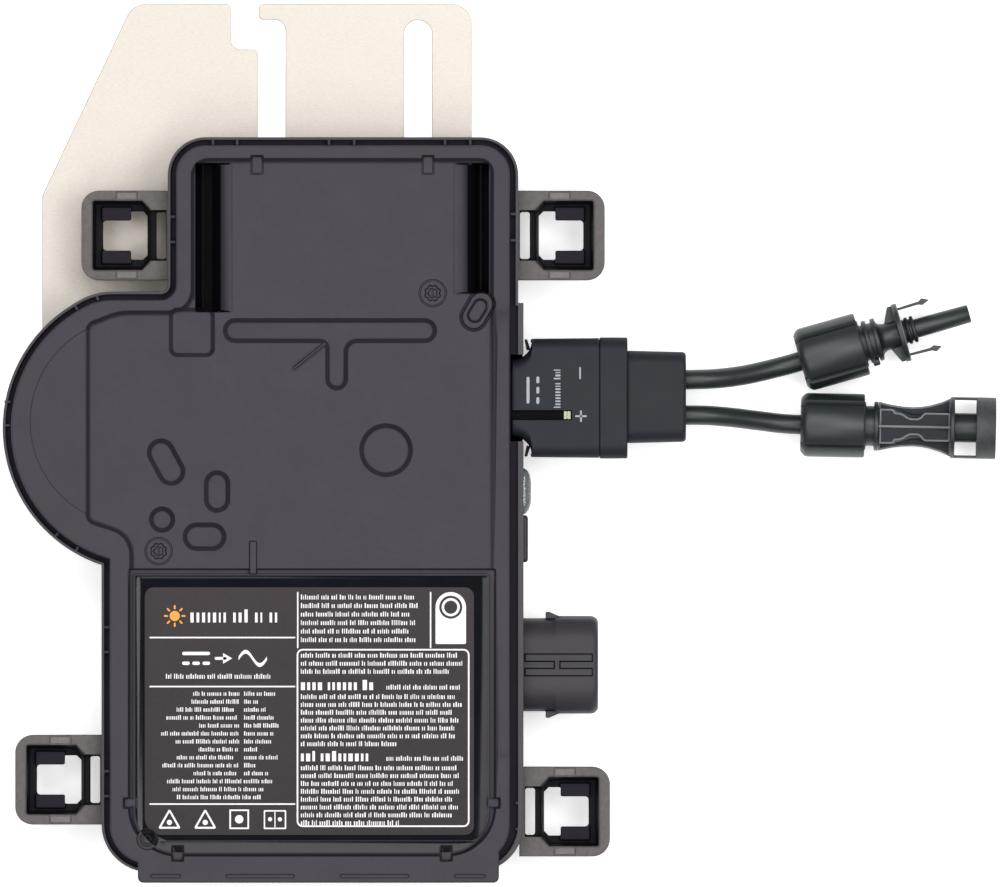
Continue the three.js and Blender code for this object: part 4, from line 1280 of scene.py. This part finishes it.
dome = [(48.6, 0.4), (48.8, 0.1), (49.0, 0.0), (50.9, 0.0)]
for angle in range(12, 85, 12):
    turn = radians(angle)
    dome.append((50.9 + 2.4 * sin(turn), 2.6 * (1 - cos(turn))))
lens = lofted([
    rounded_section(x, LAMP_Y, LAMP_Z, 13.2 - 2 * d * 1.6, 5.7 - 2 * d * 0.9, 2.7 - d * 0.8)
    for x, d in dome
])
even_normals(piece("lamp_lens", lens, "lens", replaces=["status_lens"]))
wall_pad = bar(49.0, 52.4, -27.4, 16.75, 13.4, 17.5, 1.2, 0.9)
even_normals(piece("housing_wall_pad", wall_pad))

# -------- input plug

PLUG_FRONT, PLUG_SEAM, COLLAR_END = 47.7, 72.7, 80.8
PLUG_WIDTH, PLUG_HEIGHT = 34.2, 22.0


def plug_form():
    """Front half of the plug: straight sides, with a scooped corner for each latch."""
    sections = []
    places = [(PLUG_FRONT, 0.5), (PLUG_FRONT + 0.1, 0.2), (PLUG_FRONT + 0.4, 0.0)]
    places += [(PLUG_FRONT + 6 * (1 - cos(radians(a))), 0.0) for a in range(30, 91, 6)]
    places += [(PLUG_SEAM - 0.3, 0.0), (PLUG_SEAM - 0.05, 0.1), (PLUG_SEAM, 0.25), (PLUG_SEAM, 0.5)]
    places += [(PLUG_SEAM + 1.0, 0.5)]
    for x, cut_back in places:
        reach = 6 - (x - PLUG_FRONT)
        scoop = sqrt(max(0.0, 36 - (x - PLUG_FRONT) ** 2)) if reach > 0 else 0.0
        taper = 0.4 * max(0.0, (66 - x) / 14)
        width = PLUG_WIDTH - taper - 2 * scoop - 2 * cut_back
        height = PLUG_HEIGHT - 2 * cut_back
        sections.append(rounded_section(x, PLUG_Y, CONNECTOR_Z, width, height, 3.6))
    return lofted(sections)


plug = piece("plug_body", plug_form(), "plug_plastic", "dc_plug", ["dc_plug_body"])
cut(plug, box_form(46, 7.9 - 1.45, 27.5 - 1.6, 64.9, 7.9 + 1.45, 30))
# painted shade in the channel cut into the plug's top
paint(plug, "recess_painted_shade", (46, 6.4, 25.8), (65.0, 9.4, 27.3))
even_normals(plug)
NOSE_TIP, NOSE_END, CONTACT_BORE = 36.5, 48.5, 3.2
nose_form = bar(NOSE_TIP, NOSE_END, PLUG_Y, CONNECTOR_Z, 18, 11.6, 2, 0.4)
nose = piece("plug_nose", nose_form, "plug_plastic", "dc_plug")
for sign in LEAD_ROUTES:
    pin_low, pin_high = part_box(f"dc_pin_{sign}")
    pin_y = (pin_low[1] + pin_high[1]) / 2 / MM
    bore = lathe([(NOSE_TIP - 1, CONTACT_BORE), (NOSE_END - 0.1, CONTACT_BORE)], 40, closed=False)
    cut(nose, bore.at(0, pin_y, CONNECTOR_Z))
even_normals(nose)
shells = [
    ("collar", PLUG_SEAM + 0.1, COLLAR_END, 0.0, PLUG_WIDTH + 0.4, PLUG_HEIGHT + 0.4, 4.2, 0.45, 0.0),
    ("boot", COLLAR_END - 0.6, BOOT_END, 0.3, 26.4, 18.4, 4, 1.1, 0.7),
]
for word, x0, x1, aside, *shape in shells:
    form = bar(x0, x1, PLUG_Y + aside, CONNECTOR_Z, *shape)
    even_normals(piece(f"plug_{word}", form, "plug_plastic", "dc_plug", [f"dc_plug_{word}"]))

PLUG_TOP = CONNECTOR_Z + PLUG_HEIGHT / 2


def plug_marks():
    """Polarity marks, a direct-current symbol and a column of strokes, a hair above the top face."""
    form = Form()
    words(form, 10.0, 23.4, -60.7, 1.9, 0.8)
    low, high = PLUG_TOP - 0.05, PLUG_TOP + 0.03
    form.at(0, 0, high - INK_TOP, about_z(90))
    strokes = [(67.25, 18.4, 67.25, 21.4, 0.45), (67.5, 6.2, 67.5, 9.0, 0.5)]
    strokes += [(66.1, 7.6, 68.9, 7.6, 0.5), (52.4, 11.6, 52.4, 18.4, 0.85)]
    strokes += [(55.2, y - 0.5, 55.2, y + 0.6, 0.85) for y in (12.0, 14.95, 17.9)]
    for x0, y0, x1, y1, width in strokes:
        mark(form, slot(x0, y0, x1, y1, width / 2), low=low, high=high)
    return form


piece("plug_marks", plug_marks(), "plug_plastic", "dc_plug", looks=["mark_grey"])

insert = Form()
for x in (63.05, 64.15):
    insert.join(block(x - 0.42, 6.75, PLUG_TOP - 1.4, x + 0.42, 9.05, PLUG_TOP - 0.3, 0.15))
insert.join(block(62.7, 6.9, PLUG_TOP - 1.5, 64.5, 8.9, PLUG_TOP - 0.6, 0.1))
piece("plug_lock_insert", insert, "insert", "dc_plug", ["dc_plug_lock_insert"])

nubs = Form()
for side in SIDES.values():
    y = PLUG_Y + side * 16.3
    nubs.join(block(53.15, y - 0.55, PLUG_TOP - 14, 54.15, y + 0.55, PLUG_TOP - 1.2, 0.4))
piece("plug_corner_nubs", nubs, "plug_plastic", "dc_plug")

for word, side in SIDES.items():
    arm = outline([
        (52.0, PLUG_Y + side * 13.55, 0.2), (53.1, PLUG_Y + side * 13.8, 0.2),
        (52.15, PLUG_Y + side * 16.75, 0.25), (51.35, PLUG_Y + side * 16.75, 0.25),
    ])
    latch = plate(facing(arm, side), CONNECTOR_Z - 4.5, CONNECTOR_Z + 4.5, 0.12)
    body = f"dc_plug_latch_{word}"
    piece(f"plug_latch_{word}", latch, "plug_plastic", body, [body])

# -------- lead connectors

# place of each connector's back end, and the heading of its axis
CONNECTORS = {"minus": (130.2, 23.3, 15.8), "plus": (130.3, 5.2, -1.1)}


def lobed(r, a):
    """Four broad lobes parted by rounded grooves, one lobe facing up."""
    if r < 7.3:
        return r
    off = abs((degrees(a) + 45) % 90 - 45) - 38
    groove = min(1.0, max(0.0, off / 4.5))
    return r - (r - 7.4) * groove * groove * (3 - 2 * groove)


def rib(start, end, radius):
    """Profile of a raised band with softened edges."""
    return [(start, radius - 0.1), (start + 0.2, radius), (end - 0.2, radius), (end, radius - 0.1)]


def nut_form():
    """Gland nut, hollow from its front end."""
    profile = [(0.0, 3.4), (0.0, 7.3), (0.15, 7.7), (0.6, 8.3), (1.1, 8.75), (1.6, 9.0), (2.2, 9.1)]
    profile += [(17.8, 9.1), (18.15, 8.95), (18.3, 8.7), (18.3, 7.2), (18.2, 7.05), (3.6, 7.0)]
    profile += [(3.6, 3.4)]
    return lathe(profile, 160, lobes=lobed)


def minus_body_form():
    """Thread, seal ribs, disc and barrel of the pin-type connector."""
    profile = [(4.3, 3.4), (4.3, 6.8), (18.6, 6.8), (18.7, 5.2), (19.5, 5.2)]
    profile += [*rib(19.6, 20.8, 6.2), (20.9, 5.2), (22.1, 5.2), *rib(22.2, 23.4, 6.2)]
    profile += [(23.6, 5.0), (24.2, 4.2), (25.2, 3.9), (29.1, 3.9)]
    profile += [(29.2, 8.3), (29.4, 8.5), (30.4, 8.5), (30.6, 8.3), (30.7, 3.6), (31.5, 3.3)]
    profile += [(31.6, 3.7), (31.9, 3.9), (32.4, 3.9), (32.6, 3.7), (32.7, 3.2), (33.1, 3.2)]
    profile += [(33.2, 3.7), (33.5, 3.9), (33.9, 3.9), (34.2, 3.7)]
    profile += [(34.3, 2.75), (49.9, 2.6), (50.2, 2.4), (50.2, 1.8), (10, 1.8)]
    return lathe(profile, 64)


def plus_body_form():
    """Thread, waist and mouth of the socket-type connector."""
    profile = [(4.3, 3.4), (4.3, 6.8), (18.6, 6.8), (18.7, 5.7), (20.9, 5.7), *rib(21.0, 22.2, 7.0)]
    profile += [(22.3, 5.3), (26.8, 5.3), (27.2, 5.0), (29.0, 4.5), (31.5, 3.8), (33.0, 3.7)]
    profile += [(36.4, 3.7), (36.8, 4.3), (42.7, 4.4), (42.8, 8.6), (43.0, 8.8), (43.8, 8.8)]
    profile += [(44.0, 8.6), (44.1, 4.2), (54.4, 4.2), (54.6, 4.0), (54.6, 3.5), (38, 3.5), (38, 1.8)]
    profile += [(10, 1.8)]
    return lathe(profile, 64)


def waisted_loop(upper):
    """Closed outline, symmetric about the connector's axis, from its upper edge."""
    return [(x, -y) for x, y in upper] + [(x, y) for x, y in reversed(upper)]


FIN_LOOP = waisted_loop([
    (22.3, 7.0), (24, 6.6), (26, 6.15), (29, 5.75), (32, 5.6), (34.5, 5.75), (37, 6.2), (40, 7.1),
    (42.9, 8.4),
])
SPINE_LOOP = waisted_loop([
    (22.5, 5.0), (26.0, 5.0), (26.6, 4.6), (27.0, 4.0), (28.2, 3.9), (29.4, 3.5), (30.4, 2.8),
    (31.4, 2.4), (33.4, 2.4), (34.2, 2.8), (34.8, 3.6), (35.6, 4.1), (42.7, 4.1),
])


def window_bar(side):
    """Bar of the plus connector's mouth beside its open window."""
    low, high = side * 90 - 15, side * 90 + 15
    curve = arc(0, 0, 8.8, low, high) + arc(0, 0, 8.15, high, low)
    form = Form()
    rings = [form.ring([(x, y, z) for z, y in curve]) for x in (43.6, 50.6)]
    form.chain(rings)
    for ring in rings:
        form.fill([ring])
    return form


def mouth_collar():
    """Collar at the plus connector's open end."""
    profile = [(50.2, 7.3), (50.2, 8.6), (50.4, 8.8), (55.5, 8.8), (55.8, 8.6), (55.8, 7.6)]
    profile += [(55.5, 7.3), (51.4, 7.2), (51.3, 4.1), (50.2, 4.1)]
    return lathe(profile, 96)


def gusset(side):
    """Triangular web behind the minus connector's disc."""
    loop = outline([
        (25.6, side * 3), (29.4, side * 3), (29.4, side * 8.1, 0.2), (28.0, side * 8.1, 0.3),
    ])
    return plate(facing(loop, side), -0.9, 0.9, 0.15)


def arm_form(side):
    """Barbed spring arm beside the minus connector's barrel."""
    loop = outline([
        (30.4, side * 6.35), (36.8, side * 6.4, 0.4), (38, side * 5.95, 0.2), (40.2, side * 6.9, 0.15),
        (38.2, side * 7.95, 0.3), (37.2, side * 7.3, 0.4), (30.4, side * 7.05),
    ])
    return plate(facing(loop, side), -2, 2, 0.12)


connector_pieces = {"minus": [], "plus": []}


def connector_piece(sign, name, form, body="dc_plug", replaces=(), **more):
    """Piece drawn along X from its connector's back end."""
    x, y, heading = CONNECTORS[sign]
    form.at(x, y, CONNECTOR_LOW, about_z(heading))
    made = piece(f"{sign}_{name}", form, "connector_plastic", body, replaces, **more)
    connector_pieces[sign].append(made)


for sign in CONNECTORS:
    nut = f"{sign}_connector_nut"
    connector_piece(sign, "nut", nut_form(), nut, [nut], angle=30)
connector_piece("minus", "body", minus_body_form(), replaces=["minus_connector_body"])
# painted highlight: a light ring on the rim of the minus connector's disc
flange_edge = lathe([(30.45, 7.9), (30.45, 8.52), (30.6, 8.52), (30.75, 8.4), (30.75, 7.9)], 64)
connector_piece("minus", "flange_edge", flange_edge, looks=["connector_painted_highlight"])
for word, side in SIDES.items():
    connector_piece("minus", f"gusset_{word}", gusset(side))
connector_piece("minus", "stop_pin", bar(20.0, 21.9, -6.1, 0, 2.2, 2.2, 1, 0.3))
for word, n in (("upper", 1), ("lower", 2)):
    body = f"minus_connector_arm_{n}"
    connector_piece("minus", f"arm_{word}", arm_form(SIDES[word]), body, [body])
connector_piece("plus", "body", plus_body_form(), replaces=["plus_connector_body"])
# the edge plates and the upright fin are light as painted highlight along the fins' and spine's edges;
# the inset plates over them take the plug plastic
ribs = [
    ("fin_edge", plate(FIN_LOOP, -0.75, 0.75, 0.2), "connector_painted_highlight"),
    ("fin_flat", plate(inset(FIN_LOOP, 0.5), -0.83, 0.83, 0.05), "plug_plastic"),
    ("fin_upright", plate(FIN_LOOP, -0.35, 0.35, 0.1).at(0, 0, 0, QUARTER), "connector_painted_highlight"),
    ("spine_edge", plate(SPINE_LOOP, -5.45, 5.45, 0.15), "connector_painted_highlight"),
    ("spine", plate(inset(SPINE_LOOP, 0.5), -5.52, 5.52, 0.04), "plug_plastic"),
]
for name, form, look in ribs:
    connector_piece("plus", name, form, looks=[look])
for word, side in SIDES.items():
    connector_piece("plus", f"window_bar_{word}", window_bar(side))
connector_piece("plus", "mouth_collar", mouth_collar(), looks=["collar_plastic"])

# -------- floor and light


FLOOR_REACH = 20.0          # metres, as are the next three
FLOOR_DROP = 0.0001
SOFTBOX_DISTANCE = 2.0
SOFTBOX_SIZE = 0.8
FLOOR_GREY = (0.93, 0.93, 0.93)
FLOOR_GLOW = 0.45

# direction of each softbox from the object, and its power in watts
SOFTBOXES = {
    "right_softbox": ((0.42, 0.05, 1.0), 16.5),
    "left_softbox": ((-0.42, 0.05, 1.0), 10.2),
    "far_softbox": ((0.0, 0.45, 1.0), 12.6),
    "near_softbox": ((0.0, -0.45, 1.0), 9.0),
}
SKY_COLOR = (0.95, 0.97, 1.0, 1.0)
SKY_STRENGTH = 0.28


def add_floor():
    """Plain pale floor a hair below the object."""
    mesh = bpy.data.meshes.new("floor")
    corners = [(-1, -1), (1, -1), (1, 1), (-1, 1)]
    verts = [(x * FLOOR_REACH, y * FLOOR_REACH, -FLOOR_DROP) for x, y in corners]
    mesh.from_pydata(verts, [], [(0, 1, 2, 3)])
    tree, shader, coordinates = shader_base("floor", FLOOR_GREY, 0.9)
    put(shader, Emission_Color=(1.0, 1.0, 1.0, 1.0), Emission_Strength=FLOOR_GLOW)
    tint(tree, shader, noise(tree, coordinates, 300.0), FLOOR_GREY, 0.01)
    mesh.materials.append(MATERIALS["floor"])
    linked("floor", mesh)


def add_light(name, direction, power):
    """Square softbox that faces the object."""
    data = bpy.data.lights.new(name, "AREA")
    data.shape = "SQUARE"
    data.size = SOFTBOX_SIZE
    data.energy = power
    light = linked(name, data)
    light.location = Vector(direction).normalized() * SOFTBOX_DISTANCE
    light.rotation_euler = Vector(direction).to_track_quat("Z", "Y").to_euler()


def add_world():
    """Even light from all around."""
    world = bpy.data.worlds.new("world")
    world.use_nodes = True
    put(world.node_tree.nodes["Background"], Color=SKY_COLOR, Strength=SKY_STRENGTH)
    bpy.context.scene.world = world


add_floor()
add_world()
for softbox, (direction, power) in SOFTBOXES.items():
    add_light(softbox, direction, power)
bpy.context.scene.view_settings.view_transform = "Standard"
